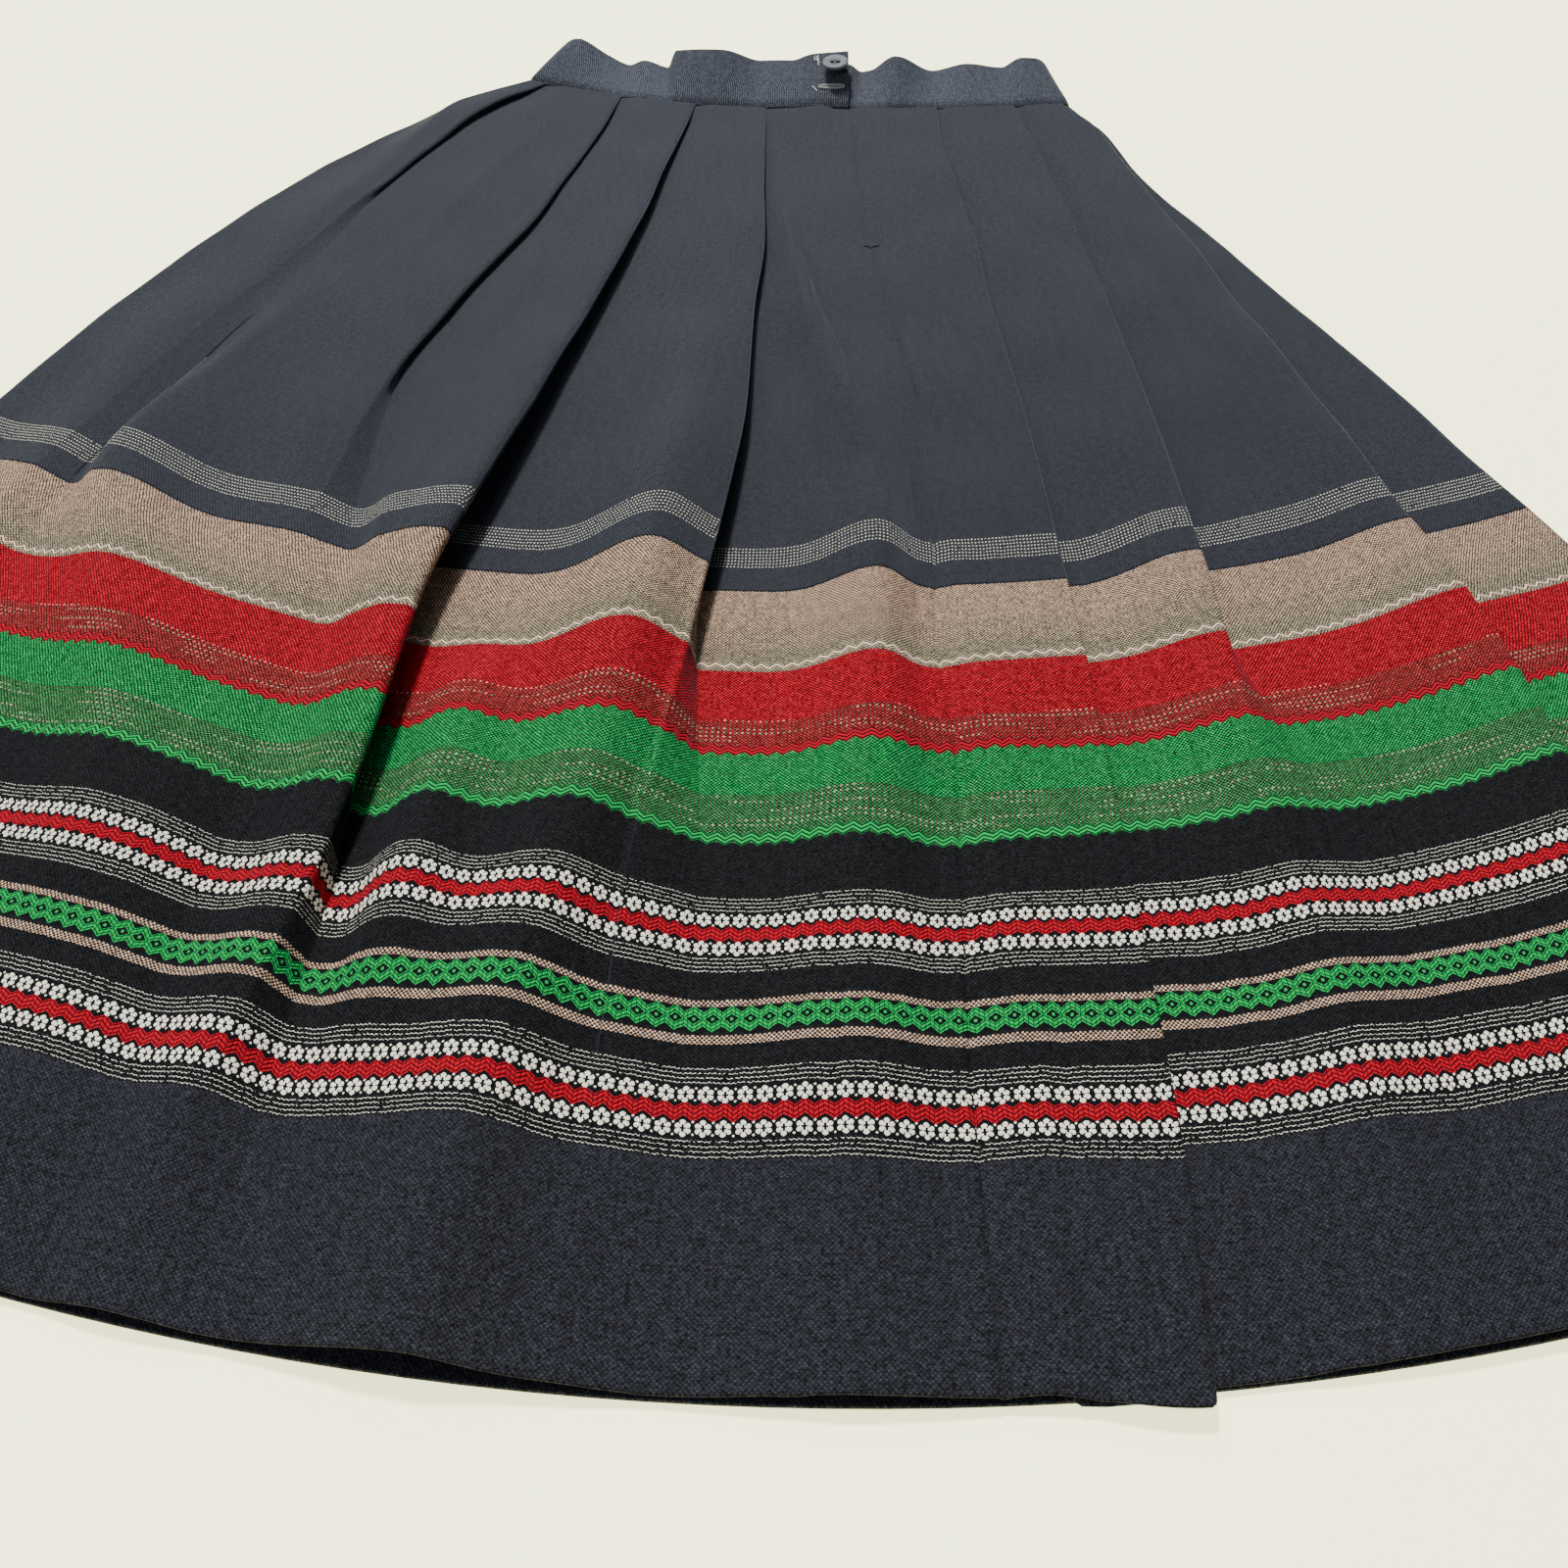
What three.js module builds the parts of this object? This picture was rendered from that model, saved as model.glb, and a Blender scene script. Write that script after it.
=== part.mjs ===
// A knife-pleated wool skirt, laid flat with its back upwards.
// Millimetres, +Z up. The skirt lies on Z = 0 with its waist towards +Y and its hem towards -Y.
// Seven pleats show on the back. Each fold edge faces right, so a panel lies over the next one.
// The centre-back seam parts the back in two, and its upper stretch is a placket over a zip.

import * as THREE from 'three';

// Cloth
const WALL = 1.2;
const HALF_WALL = WALL / 2;
const LAYER_STEP = 1.8;
const FRONT_WALL = 1.5;
const SEAM_GAP = 0.3;
const UNDERLAY_Z = 2.4;
const TOP_Z = UNDERLAY_Z + 2 * LAYER_STEP;
const CENTRE_SEAM_HALF_GAP = 0.2;
const PLACKET_Z = 5.2;
const SEAM_Z = 4.6;
const SIDE_EDGE_Z = 4.4;

// Folds
const FOLD_RADIUS = LAYER_STEP / 2;
const LIP_RADIUS_SHARE = 0.1;
const OPEN_RADIUS_SHARE = 0.2;
const OPEN_MARGIN = 2;
const OPEN_RANGE = 20;
const LEAST_STEP_SHARE = 0.25;
const ARC_STEPS = 4;
const CREST_MARGIN = 4;
const LIP_RISE_SHARE = 0.8;

// Plan of the skirt: the waist seam is 930 from the plan's own origin, and each level is an arc.
const WAIST_Y = 930;
const ARC_CENTRE_X = 20;
const FAN_LEVEL = 440;
const FAN_RADIUS = 625;
const FAN_RADIUS_GROWTH = 0.45;
const WAIST_RADIUS_LEFT = 321;
const WAIST_RADIUS_RIGHT = 1278;

// Placket and zip
const PLACKET_LENGTH = 186;
const ZIP_WIDTH = 22;
const ZIP_TAPE = 0.9;
const ZIP_CHAIN_WIDTH = 5;
const ZIP_CHAIN_RISE = 0.8;
const ZIP_Z = FRONT_WALL + SEAM_GAP;

// Waistband
const BAND_HEIGHT = 36;
const BAND_WALL = 2;
const BAND_Z = 6;
const BAND_LAP_RISE = 2.6;
const BAND_LEFT_X = -153;
const BAND_RIGHT_X = 166;
const BAND_LEFT_LEAN = 20;
const BAND_RIGHT_LEAN = 10;
const BAND_LAP_X = 37.6;
const BAND_UNDERLAP_X = 5;
const BAND_LEVELS = [0, 0.35, 0.7, 1];
const BAND_TURN_STEPS = 6;
const BAND_FLAT_STEPS = 13;
const FRONT_COLUMNS = 15;

// Button
const BUTTON_RADIUS = 7.5;
const BUTTON_THICKNESS = 3;
const BUTTON_X = 30;
const BUTTON_UP = 24;
const BUTTON_CLEARANCE = 0.5;
const BUTTON_TILT = (22 * Math.PI) / 180;
const BUTTON_HOLE_RADIUS = 1.1;
const BUTTON_HOLE_SPREAD = 1.9;

// A table row becomes an object with the named columns.
function table(names, rows) {
  return rows.map((row) => Object.fromEntries(names.map((name, index) => [name, row[index]])));
}

// Where the side edges, the fold edges and the centre-back seam cross each level.
// drop is the distance below the waist seam, the rest are places across.
const PLACES = table(
  ['drop', 'left', 'e1', 'e2', 'e3', 'e4', 'seam', 'e5', 'e6', 'e7', 'right'],
  [
    [0, -152, -142, -96, -52, -11, 37, 88, 133, 161, 165],
    [50, -189, -170, -103, -58, -11, 39, 87, 138, 178, 183],
    [110, -222, -193, -114, -65, -11, 40, 90, 142, 186, 192],
    [180, -255, -214, -127, -73, -10, 43, 94, 146, 197, 213],
    [260, -285, -237, -148, -86, -14, 49, 96, 149, 207, 235],
    [350, -314, -264, -169, -101, -16, 56, 100, 151, 220, 260],
    [440, -338, -288, -177, -116, -24, 56, 102, 152, 231, 281],
    [500, -353, -300, -181, -126, -31, 53, 103, 152, 240, 297],
    [560, -368, -311, -185, -129, -37, 55, 103, 153, 246, 314],
    [620, -384, -321, -188, -134, -42, 52, 102, 155, 247, 331],
    [700, -407, -333, -192, -145, -46, 49, 100, 157, 249, 356],
    [770, -427, -344, -196, -154, -50, 49, 95, 159, 251, 378],
  ],
);

// How far each pleat laps over the next panel. Below zero the pleat has opened to a soft step.
const LAPS = table(
  ['drop', 'e1', 'e2', 'e3', 'e4', 'e5', 'e6', 'e7'],
  [
    [0, 6, 30, 28, 25, 32, 30, 10],
    [50, 14, 34, 30, 30, 34, 34, 22],
    [110, 20, 32, 32, 32, 35, 33, 28],
    [180, 24, 24, 34, 30, 36, 30, 30],
    [260, 26, 12, 33, 24, 36, 24, 27],
    [350, 20, 0, 30, 17, 36, 16, 22],
    [440, 14, -8, 24, 9, 35, 9, 16],
    [500, 9, -14, 18, 0, 34, 0, 10],
    [560, 0, -14, 10, -8, 32, -8, 0],
    [620, -8, -14, 0, -14, 31, -14, -8],
    [700, -14, -14, -8, -14, 30, -14, -14],
    [770, -14, -14, -14, -14, 30, -14, -14],
  ],
);

// How high each fold edge stands above the cloth that lies flat.
const LIFTS = table(
  ['drop', 'e1', 'e2', 'e3', 'e4', 'e5', 'e6', 'e7'],
  [
    [0, 0, 0, 0, 0, 0, 0, 0],
    [50, 1, 1, 2, 1, 0, 1, 0],
    [110, 2, 2, 5, 3, 0, 2, 1],
    [180, 3, 3, 9, 5, 0, 3, 2],
    [260, 3, 4, 13, 6, 0, 5, 4],
    [350, 3, 4, 16, 6, 0, 6, 6],
    [440, 3, 2, 17, 4, 1, 7, 7],
    [500, 4, 1, 16, 4, 1, 6, 6],
    [560, 4, 0, 13, 2, 2, 4, 5],
    [620, 2, 0, 9, 2, 3, 3, 3],
    [700, 0, 0, 4, 1, 5, 2, 1],
    [770, 0, 0, 1, 0, 5, 0, 0],
  ],
);

// The lip of each fold: how wide the cloth rises towards it.
const LIP_SPREADS = { e1: 22, e2: 22, e3: 28, e4: 26, e5: 24, e6: 24, e7: 24 };

// Free ridges of the cloth. Each has a row for each level that it passes.
const RIDGES = [
  {
    panel: 'p2',
    spread: 24,
    course: table(['drop', 'across', 'height'], [
      [260, -240, 0], [350, -258, 8], [440, -262, 14], [500, -245, 12],
      [560, -225, 10], [620, -208, 8], [700, -205, 3], [770, -205, 0],
    ]),
  },
  {
    panel: 'p3',
    spread: 14,
    course: table(['drop', 'across', 'height'], [
      [350, -140, 0], [440, -148, 5], [500, -152, 3], [560, -156, 0],
    ]),
  },
  {
    panel: 'p4',
    spread: 14,
    course: table(['drop', 'across', 'height'], [
      [500, -102, 0], [560, -104, 10], [620, -108, 14], [700, -112, 2], [770, -114, 0],
    ]),
  },
  {
    panel: 'p4',
    spread: 18,
    course: table(['drop', 'across', 'height'], [
      [260, -40, 0], [350, -42, 10], [440, -46, 18], [500, -52, 17],
      [560, -57, 16], [620, -67, 14], [700, -79, 12], [770, -86, 7],
    ]),
  },
  {
    panel: 'p5',
    spread: 20,
    course: table(['drop', 'across', 'height'], [
      [260, 24, 0], [350, 30, 6], [440, 33, 11], [500, 31, 10],
      [560, 27, 8], [620, 23, 6], [700, 18, 4], [770, 12, 2],
    ]),
  },
];

// Panels from left to right: what each starts from and ends at, and its inner stations.
const PANELS = [
  { name: 'p1', from: 'left', to: 'e1', stations: 6, side: 'back_left' },
  { name: 'p2', from: 'e1', to: 'e2', stations: 8, side: 'back_left' },
  { name: 'p3', from: 'e2', to: 'e3', stations: 7, side: 'back_left' },
  { name: 'p4', from: 'e3', to: 'e4', stations: 8, side: 'back_left' },
  { name: 'p5', from: 'e4', to: 'seam', stations: 7, side: 'back_left' },
  { name: 'p6', from: 'seam', to: 'e5', stations: 5, side: 'back_right' },
  { name: 'p7', from: 'e5', to: 'e6', stations: 7, side: 'back_right' },
  { name: 'p8', from: 'e6', to: 'e7', stations: 7, side: 'back_right' },
  { name: 'p9', from: 'e7', to: 'right', stations: 7, side: 'back_right' },
];

// Height of the waistband's upper edge above its seam, across the skirt.
const BAND_LAP_EDGE = table(
  ['across', 'lift'],
  [
    [-146, 21], [-122, 18], [-106, 9.5], [-93, 5], [-83, 9], [-69, 6], [-63, 18],
    [-36, 21], [-13, 14], [4, 13.5], [17, 18], [38, 20],
  ],
);
const BAND_RIGHT_EDGE = table(
  ['across', 'lift'],
  [
    [5, 12], [20, 13], [38, 13], [46, 8], [52, 9], [65, 18], [88, 8], [108, 12], [129, 9], [140, 15], [158, 13],
  ],
);

const COLOURS = {
  cloth: 0x2b2f3a,
  front: 0x262a34,
  band: 0x30343f,
  button: 0x8d9092,
  zip: 0x23262e,
};

function clamp(value, low, high) {
  return Math.min(Math.max(value, low), high);
}

function smoothstep(value) {
  const share = clamp(value, 0, 1);
  return share * share * (3 - 2 * share);
}

function mix(a, b, share) {
  return a + (b - a) * share;
}

// Value of a column between two rows of a table, held at its ends.
function readTable(rows, key, column, value) {
  if (value <= rows[0][key]) {
    return rows[0][column];
  }
  const index = rows.findIndex((row) => row[key] >= value);
  if (index < 0) {
    return rows[rows.length - 1][column];
  }
  const before = rows[index - 1];
  const after = rows[index];
  return mix(before[column], after[column], (value - before[key]) / (after[key] - before[key]));
}

// Place along the skirt of a level, which is an arc that fans out from the waist.
function levelY(across, drop) {
  const reach = across - ARC_CENTRE_X;
  const waistRadius = reach < 0 ? WAIST_RADIUS_LEFT : WAIST_RADIUS_RIGHT;
  const share = clamp(drop / FAN_LEVEL, 0, 1);
  const curve = mix(1 / waistRadius, 1 / FAN_RADIUS, share);
  const lower = 1 / (FAN_RADIUS + FAN_RADIUS_GROWTH * Math.max(drop - FAN_LEVEL, 0));
  const bend = drop > FAN_LEVEL ? lower : curve;
  return WAIST_Y - drop + (reach * reach * bend) / 2;
}

// Height of the free ridges on a panel.
function ridgeHeight(panelName, across, drop, coverEdge) {
  let height = 0;
  for (const ridge of RIDGES) {
    const first = ridge.course[0].drop;
    const last = ridge.course[ridge.course.length - 1].drop;
    if (ridge.panel !== panelName || drop < first || drop > last) {
      continue;
    }
    const centre = readTable(ridge.course, 'drop', 'across', drop);
    const crest = readTable(ridge.course, 'drop', 'height', drop);
    height += crest * Math.exp(-(((across - centre) / ridge.spread) ** 2));
  }
  return height * smoothstep((across - coverEdge) / 16);
}

// How far a fold steps down where its pleat has opened.
function foldStep(lap) {
  const share = clamp(1 + (lap + OPEN_MARGIN) / OPEN_RANGE, LEAST_STEP_SHARE, 1);
  return 2 * LAYER_STEP * share;
}

function foldRadius(lap, lift) {
  return FOLD_RADIUS + LIP_RADIUS_SHARE * lift + OPEN_RADIUS_SHARE * Math.max(-lap, 0);
}

// Everything that one level of the skirt needs, by fold.
function levelData(index) {
  const places = PLACES[index];
  const folds = {};
  for (const name of Object.keys(LIP_SPREADS)) {
    const lap = LAPS[index][name];
    const lift = LIFTS[index][name];
    const lipRadius = foldRadius(lap, lift);
    const innerRadius = foldRadius(lap, 0);
    const startX = places[name] - lipRadius;
    const panel = PANELS.find((item) => item.to === name);
    const ridge = ridgeHeight(panel.name, startX, places.drop, places[panel.from]);
    folds[name] = {
      edge: places[name],
      lap,
      lift,
      lipRadius,
      innerRadius,
      start: { x: startX, z: TOP_Z + lift + ridge },
      end: { x: places[name] - lap + innerRadius, z: TOP_Z - foldStep(lap) },
    };
  }
  return { drop: places.drop, places, folds };
}

// The turn of the cloth at a fold: over the edge, back under, and forward again.
function foldPoints(fold) {
  const dx = fold.end.x - fold.start.x;
  const dz = fold.start.z - fold.end.z;
  const radii = fold.lipRadius + fold.innerRadius;
  const distance = Math.hypot(dx, dz - radii);
  const turn = Math.atan2(dz - radii, dx) + Math.asin(Math.min(radii / distance, 1));
  const points = [];
  for (let step = 0; step <= ARC_STEPS; step += 1) {
    const angle = (turn * step) / ARC_STEPS;
    points.push({
      x: fold.start.x + fold.lipRadius * Math.sin(angle),
      z: fold.start.z - fold.lipRadius * (1 - Math.cos(angle)),
    });
  }
  const inner = [];
  for (let step = ARC_STEPS; step >= 0; step -= 1) {
    const angle = (turn * step) / ARC_STEPS;
    inner.push({
      x: fold.end.x - fold.innerRadius * Math.sin(angle),
      z: fold.end.z + fold.innerRadius * (1 - Math.cos(angle)),
    });
  }
  const last = points[points.length - 1];
  points.push({ x: (last.x + inner[0].x) / 2, z: (last.z + inner[0].z) / 2 });
  return points.concat(inner);
}

// Height of a panel's resting cloth, which rises from under one pleat to the top of the next.
function panelHeight(panel, across, level) {
  const { places, folds, drop } = level;
  const before = folds[panel.from];
  const after = folds[panel.to];
  const seamZ = mix(PLACKET_Z, SEAM_Z, smoothstep((drop - PLACKET_LENGTH) / 60));
  const sideZ = mix(SIDE_EDGE_Z, UNDERLAY_Z, smoothstep(drop / 110));
  const low = before ? before.end.z : panel.from === 'seam' ? seamZ : sideZ;
  const high = after ? TOP_Z : panel.to === 'seam' ? seamZ : UNDERLAY_Z;
  const cover = before ? Math.max(before.edge, before.end.x) : places[panel.from];
  const underFold = after ? after.edge - Math.max(after.lap, 0) - CREST_MARGIN : places[panel.to];
  const crest = after ? Math.min(underFold, after.start.x) : underFold;
  const rise = smoothstep((across - cover) / Math.max(crest - cover, 1));
  let height = mix(low, high, rise);
  if (after) {
    const lip = after.lift * Math.exp(-(((across - after.start.x) / LIP_SPREADS[panel.to]) ** 2));
    height += lip * smoothstep((across - cover) / (LIP_RISE_SHARE * (after.start.x - cover)));
  }
  const fade = after ? 1 : smoothstep((places[panel.to] - across) / 20);
  return height + ridgeHeight(panel.name, across, drop, cover) * fade;
}

// Stations of one back piece at one level, from its left end to its right end.
function backStations(side, level) {
  const stations = [];
  for (const panel of PANELS.filter((item) => item.side === side)) {
    const before = level.folds[panel.from];
    const after = level.folds[panel.to];
    const startX = before ? before.end.x : level.places[panel.from]
      + (panel.from === 'seam' ? CENTRE_SEAM_HALF_GAP : 0);
    const endX = after ? after.start.x : level.places[panel.to]
      - (panel.to === 'seam' ? CENTRE_SEAM_HALF_GAP : 0);
    const first = before ? 1 : 0;
    const last = after ? panel.stations : panel.stations + 1;
    for (let index = first; index <= last; index += 1) {
      const x = mix(startX, endX, index / (panel.stations + 1));
      stations.push({ x, z: panelHeight(panel, x, level) });
    }
    if (after) {
      stations.push(...foldPoints(after));
    }
  }
  return stations;
}

// Unit normals of a section in its own upright plane.
function sectionNormals(section) {
  return section.map((point, index) => {
    const before = section[Math.max(index - 1, 0)];
    const after = section[Math.min(index + 1, section.length - 1)];
    const dx = after.x - before.x;
    const dz = after.z - before.z;
    const length = Math.hypot(dx, dz);
    return { x: -dz / length, z: dx / length };
  });
}

// A wall of cloth through sections of equal station counts. Each point is { x, y, z }.
function wallGeometry(sections, halfWall) {
  const rows = sections.length;
  const columns = sections[0].length;
  const positions = [];
  for (const sign of [1, -1]) {
    for (const section of sections) {
      const normals = sectionNormals(section);
      section.forEach((point, index) => {
        const offset = sign * halfWall;
        positions.push(point.x + normals[index].x * offset, point.y, point.z + normals[index].z * offset);
      });
    }
  }
  const outer = (row, column) => row * columns + column;
  const inner = (row, column) => rows * columns + row * columns + column;
  const faces = [];
  const quad = (a, b, c, d) => faces.push(a, b, c, a, c, d);
  for (let row = 0; row < rows - 1; row += 1) {
    for (let column = 0; column < columns - 1; column += 1) {
      quad(outer(row, column), outer(row + 1, column), outer(row + 1, column + 1), outer(row, column + 1));
      quad(inner(row, column), inner(row, column + 1), inner(row + 1, column + 1), inner(row + 1, column));
    }
    quad(outer(row, 0), inner(row, 0), inner(row + 1, 0), outer(row + 1, 0));
    const end = columns - 1;
    quad(outer(row, end), outer(row + 1, end), inner(row + 1, end), inner(row, end));
  }
  for (let column = 0; column < columns - 1; column += 1) {
    quad(outer(0, column), outer(0, column + 1), inner(0, column + 1), inner(0, column));
    const end = rows - 1;
    quad(outer(end, column), inner(end, column), inner(end, column + 1), outer(end, column + 1));
  }
  const geometry = new THREE.BufferGeometry();
  geometry.setAttribute('position', new THREE.Float32BufferAttribute(positions, 3));
  geometry.setIndex(faces);
  geometry.computeVertexNormals();
  return geometry;
}

function seamShift(drop) {
  return drop === 0 ? SEAM_GAP : 0;
}

function makeMesh(name, geometry, color, roughness) {
  const material = new THREE.MeshStandardMaterial({ color, roughness, metalness: 0 });
  const mesh = new THREE.Mesh(geometry, material);
  mesh.name = name;
  return mesh;
}

// Back pieces: the pleated cloth on each side of the centre-back seam.
function makeBack(side) {
  const sections = PLACES.map((places, index) => {
    const level = levelData(index);
    return backStations(side, level).map((point) => ({
      x: point.x,
      y: levelY(point.x, level.drop) - seamShift(level.drop),
      z: point.z,
    }));
  });
  return makeMesh(side, wallGeometry(sections, HALF_WALL), COLOURS.cloth, 0.9);
}

// Front piece: the under half of the skirt, flat on the table.
function makeFront() {
  const sections = PLACES.map((places) => {
    const points = [];
    for (let column = 0; column < FRONT_COLUMNS; column += 1) {
      const x = mix(places.left, places.right, column / (FRONT_COLUMNS - 1));
      points.push({ x, y: levelY(x, places.drop) - seamShift(places.drop), z: FRONT_WALL / 2 });
    }
    return points;
  });
  return makeMesh('front', wallGeometry(sections, FRONT_WALL / 2), COLOURS.front, 0.9);
}

// Waistband, as one strip: from the lap end on top, left, underneath, and back to the underlap end.
function bandLapPoint(across, level) {
  const lift = readTable(BAND_LAP_EDGE, 'across', 'lift', across);
  const rise = BAND_LAP_RISE * smoothstep((across + 22) / 24);
  return bandTopPoint(across, level, lift, rise);
}

function bandTopPoint(across, level, lift, rise) {
  const slope = Math.asin(lift / BAND_HEIGHT);
  return {
    x: across,
    y: levelY(across, 0) + BAND_HEIGHT * level * Math.cos(slope),
    z: BAND_Z + rise + BAND_HEIGHT * level * Math.sin(slope),
  };
}

function bandFlatPoint(across, level) {
  return { x: across, y: levelY(across, 0) + BAND_HEIGHT * level, z: BAND_WALL / 2 };
}

// Half turn between the upper and the lower run, with its outermost point at endX.
function bandTurn(endX, outward, upper, level) {
  const points = [];
  for (let step = 1; step < BAND_TURN_STEPS; step += 1) {
    const share = step / BAND_TURN_STEPS;
    const angle = Math.PI * share;
    const radius = (upper.z - BAND_WALL / 2) / 2;
    const x = endX + outward * radius * (Math.sin(angle) - 1);
    const upperReach = upper.y - levelY(upper.x, 0);
    const reach = mix(upperReach, BAND_HEIGHT * level, smoothstep(share));
    points.push({
      x,
      y: levelY(x, 0) + reach,
      z: BAND_WALL / 2 + radius * (1 + Math.cos(angle)),
    });
  }
  return points;
}

function bandSection(level) {
  const section = [];
  const lapStations = [BAND_LAP_X, 27, 17, 7, -3, -13, -24, -36, -49, -63, -66, -69, -83, -93, -106];
  lapStations.forEach((across) => section.push(bandLapPoint(across, level)));
  const leftEnd = BAND_LEFT_X + BAND_LEFT_LEAN * level;
  const leftLift = readTable(BAND_LAP_EDGE, 'across', 'lift', leftEnd);
  const leftRadius = (BAND_Z + leftLift * level - BAND_WALL / 2) / 2;
  const leftTop = bandLapPoint(leftEnd + leftRadius, level);
  section.push(leftTop);
  section.push(...bandTurn(leftEnd, -1, leftTop, level));
  const rightEnd = BAND_RIGHT_X - BAND_RIGHT_LEAN * level;
  const rightLift = readTable(BAND_RIGHT_EDGE, 'across', 'lift', rightEnd);
  const rightRadius = (BAND_Z + rightLift * level - BAND_WALL / 2) / 2;
  for (let index = 0; index <= BAND_FLAT_STEPS; index += 1) {
    const across = mix(leftTop.x, rightEnd - rightRadius, index / BAND_FLAT_STEPS);
    section.push(bandFlatPoint(across, level));
  }
  const rightTop = bandTopPoint(rightEnd - rightRadius, level, rightLift, 0);
  section.push(...bandTurn(rightEnd, 1, rightTop, level).reverse());
  section.push(rightTop);
  const rightStations = [140, 129, 119, 108, 98, 88, 76, 65, 52, 46, 38, 27, 16, BAND_UNDERLAP_X];
  rightStations.forEach((across) => {
    const lift = readTable(BAND_RIGHT_EDGE, 'across', 'lift', across);
    section.push(bandTopPoint(across, level, lift, 0));
  });
  return section;
}

function makeWaistband() {
  const sections = BAND_LEVELS.map((level) => bandSection(level).reverse()).reverse();
  return makeMesh('waistband', wallGeometry(sections, BAND_WALL / 2), COLOURS.band, 0.9);
}

// Button: a disc with two thread holes, sewn to the lap of the band, with its lower rim standing off.
function buttonRing(radius, steps, centreX) {
  const ring = [];
  for (let step = 0; step < steps; step += 1) {
    const angle = (2 * Math.PI * step) / steps;
    ring.push(new THREE.Vector2(centreX + radius * Math.cos(angle), radius * Math.sin(angle)));
  }
  return ring;
}

function makeButton() {
  const outline = new THREE.Shape(buttonRing(BUTTON_RADIUS - 0.5, 24, 0));
  for (const side of [-1, 1]) {
    outline.holes.push(new THREE.Path(buttonRing(BUTTON_HOLE_RADIUS, 8, side * BUTTON_HOLE_SPREAD)));
  }
  const bevel = 0.5;
  const geometry = new THREE.ExtrudeGeometry(outline, {
    depth: BUTTON_THICKNESS - 2 * bevel,
    bevelEnabled: true,
    bevelThickness: bevel,
    bevelSize: bevel,
    bevelSegments: 2,
    curveSegments: 1,
  });
  geometry.translate(0, 0, bevel);
  const mesh = makeMesh('button', geometry, COLOURS.button, 0.45);
  const share = BUTTON_UP / BAND_HEIGHT;
  const seat = bandLapPoint(BUTTON_X, share);
  const beside = bandLapPoint(BUTTON_X + 6, share);
  const above = bandLapPoint(BUTTON_X, 1);
  const seatPoint = new THREE.Vector3(seat.x, seat.y, seat.z);
  const acrossWay = new THREE.Vector3(beside.x, beside.y, beside.z).sub(seatPoint).normalize();
  const upWay = new THREE.Vector3(above.x, above.y, above.z).sub(seatPoint).normalize();
  const outWay = acrossWay.clone().cross(upWay).normalize();
  const trueUp = outWay.clone().cross(acrossWay);
  const seatClearance = BAND_WALL / 2 + BUTTON_CLEARANCE + BUTTON_RADIUS * Math.sin(BUTTON_TILT);
  mesh.quaternion.setFromRotationMatrix(new THREE.Matrix4().makeBasis(acrossWay, trueUp, outWay));
  mesh.rotateX(-BUTTON_TILT);
  mesh.position.copy(seatPoint.addScaledVector(outWay, seatClearance));
  return mesh;
}

// Zip: a closed chain on its tape, under the placket.
function makeZip() {
  const tape = ZIP_TAPE;
  const chainTop = ZIP_TAPE + ZIP_CHAIN_RISE;
  const profile = new THREE.Shape([
    new THREE.Vector2(-ZIP_WIDTH / 2, 0),
    new THREE.Vector2(ZIP_WIDTH / 2, 0),
    new THREE.Vector2(ZIP_WIDTH / 2, tape),
    new THREE.Vector2(ZIP_CHAIN_WIDTH / 2, tape),
    new THREE.Vector2(ZIP_CHAIN_WIDTH / 2, chainTop),
    new THREE.Vector2(-ZIP_CHAIN_WIDTH / 2, chainTop),
    new THREE.Vector2(-ZIP_CHAIN_WIDTH / 2, tape),
    new THREE.Vector2(-ZIP_WIDTH / 2, tape),
  ]);
  const topX = readTable(PLACES, 'drop', 'seam', 0);
  const endX = readTable(PLACES, 'drop', 'seam', PLACKET_LENGTH);
  const zipLength = PLACKET_LENGTH - 4;
  const geometry = new THREE.ExtrudeGeometry(profile, { depth: zipLength, bevelEnabled: false });
  geometry.rotateX(Math.PI / 2);
  const mesh = makeMesh('zip', geometry, COLOURS.zip, 0.6);
  mesh.position.set(topX, levelY(topX, 0) - 2, ZIP_Z);
  mesh.rotation.z = Math.atan2(endX - topX, PLACKET_LENGTH);
  return mesh;
}

const skirt = new THREE.Group();
skirt.add(makeBack('back_left'));
skirt.add(makeBack('back_right'));
skirt.add(makeFront());
skirt.add(makeWaistband());
skirt.add(makeButton());
skirt.add(makeZip());

// The origin is under the middle of the skirt, on the table.
const box = new THREE.Box3().setFromObject(skirt, true);
skirt.position.set(-(box.min.x + box.max.x) / 2, -(box.min.y + box.max.y) / 2, -box.min.z);

export default skirt;
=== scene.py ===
"""A knife-pleated wool skirt laid flat, back upwards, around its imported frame."""

import math

import bpy
import numpy as np
from mathutils import Matrix, Vector


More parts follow.
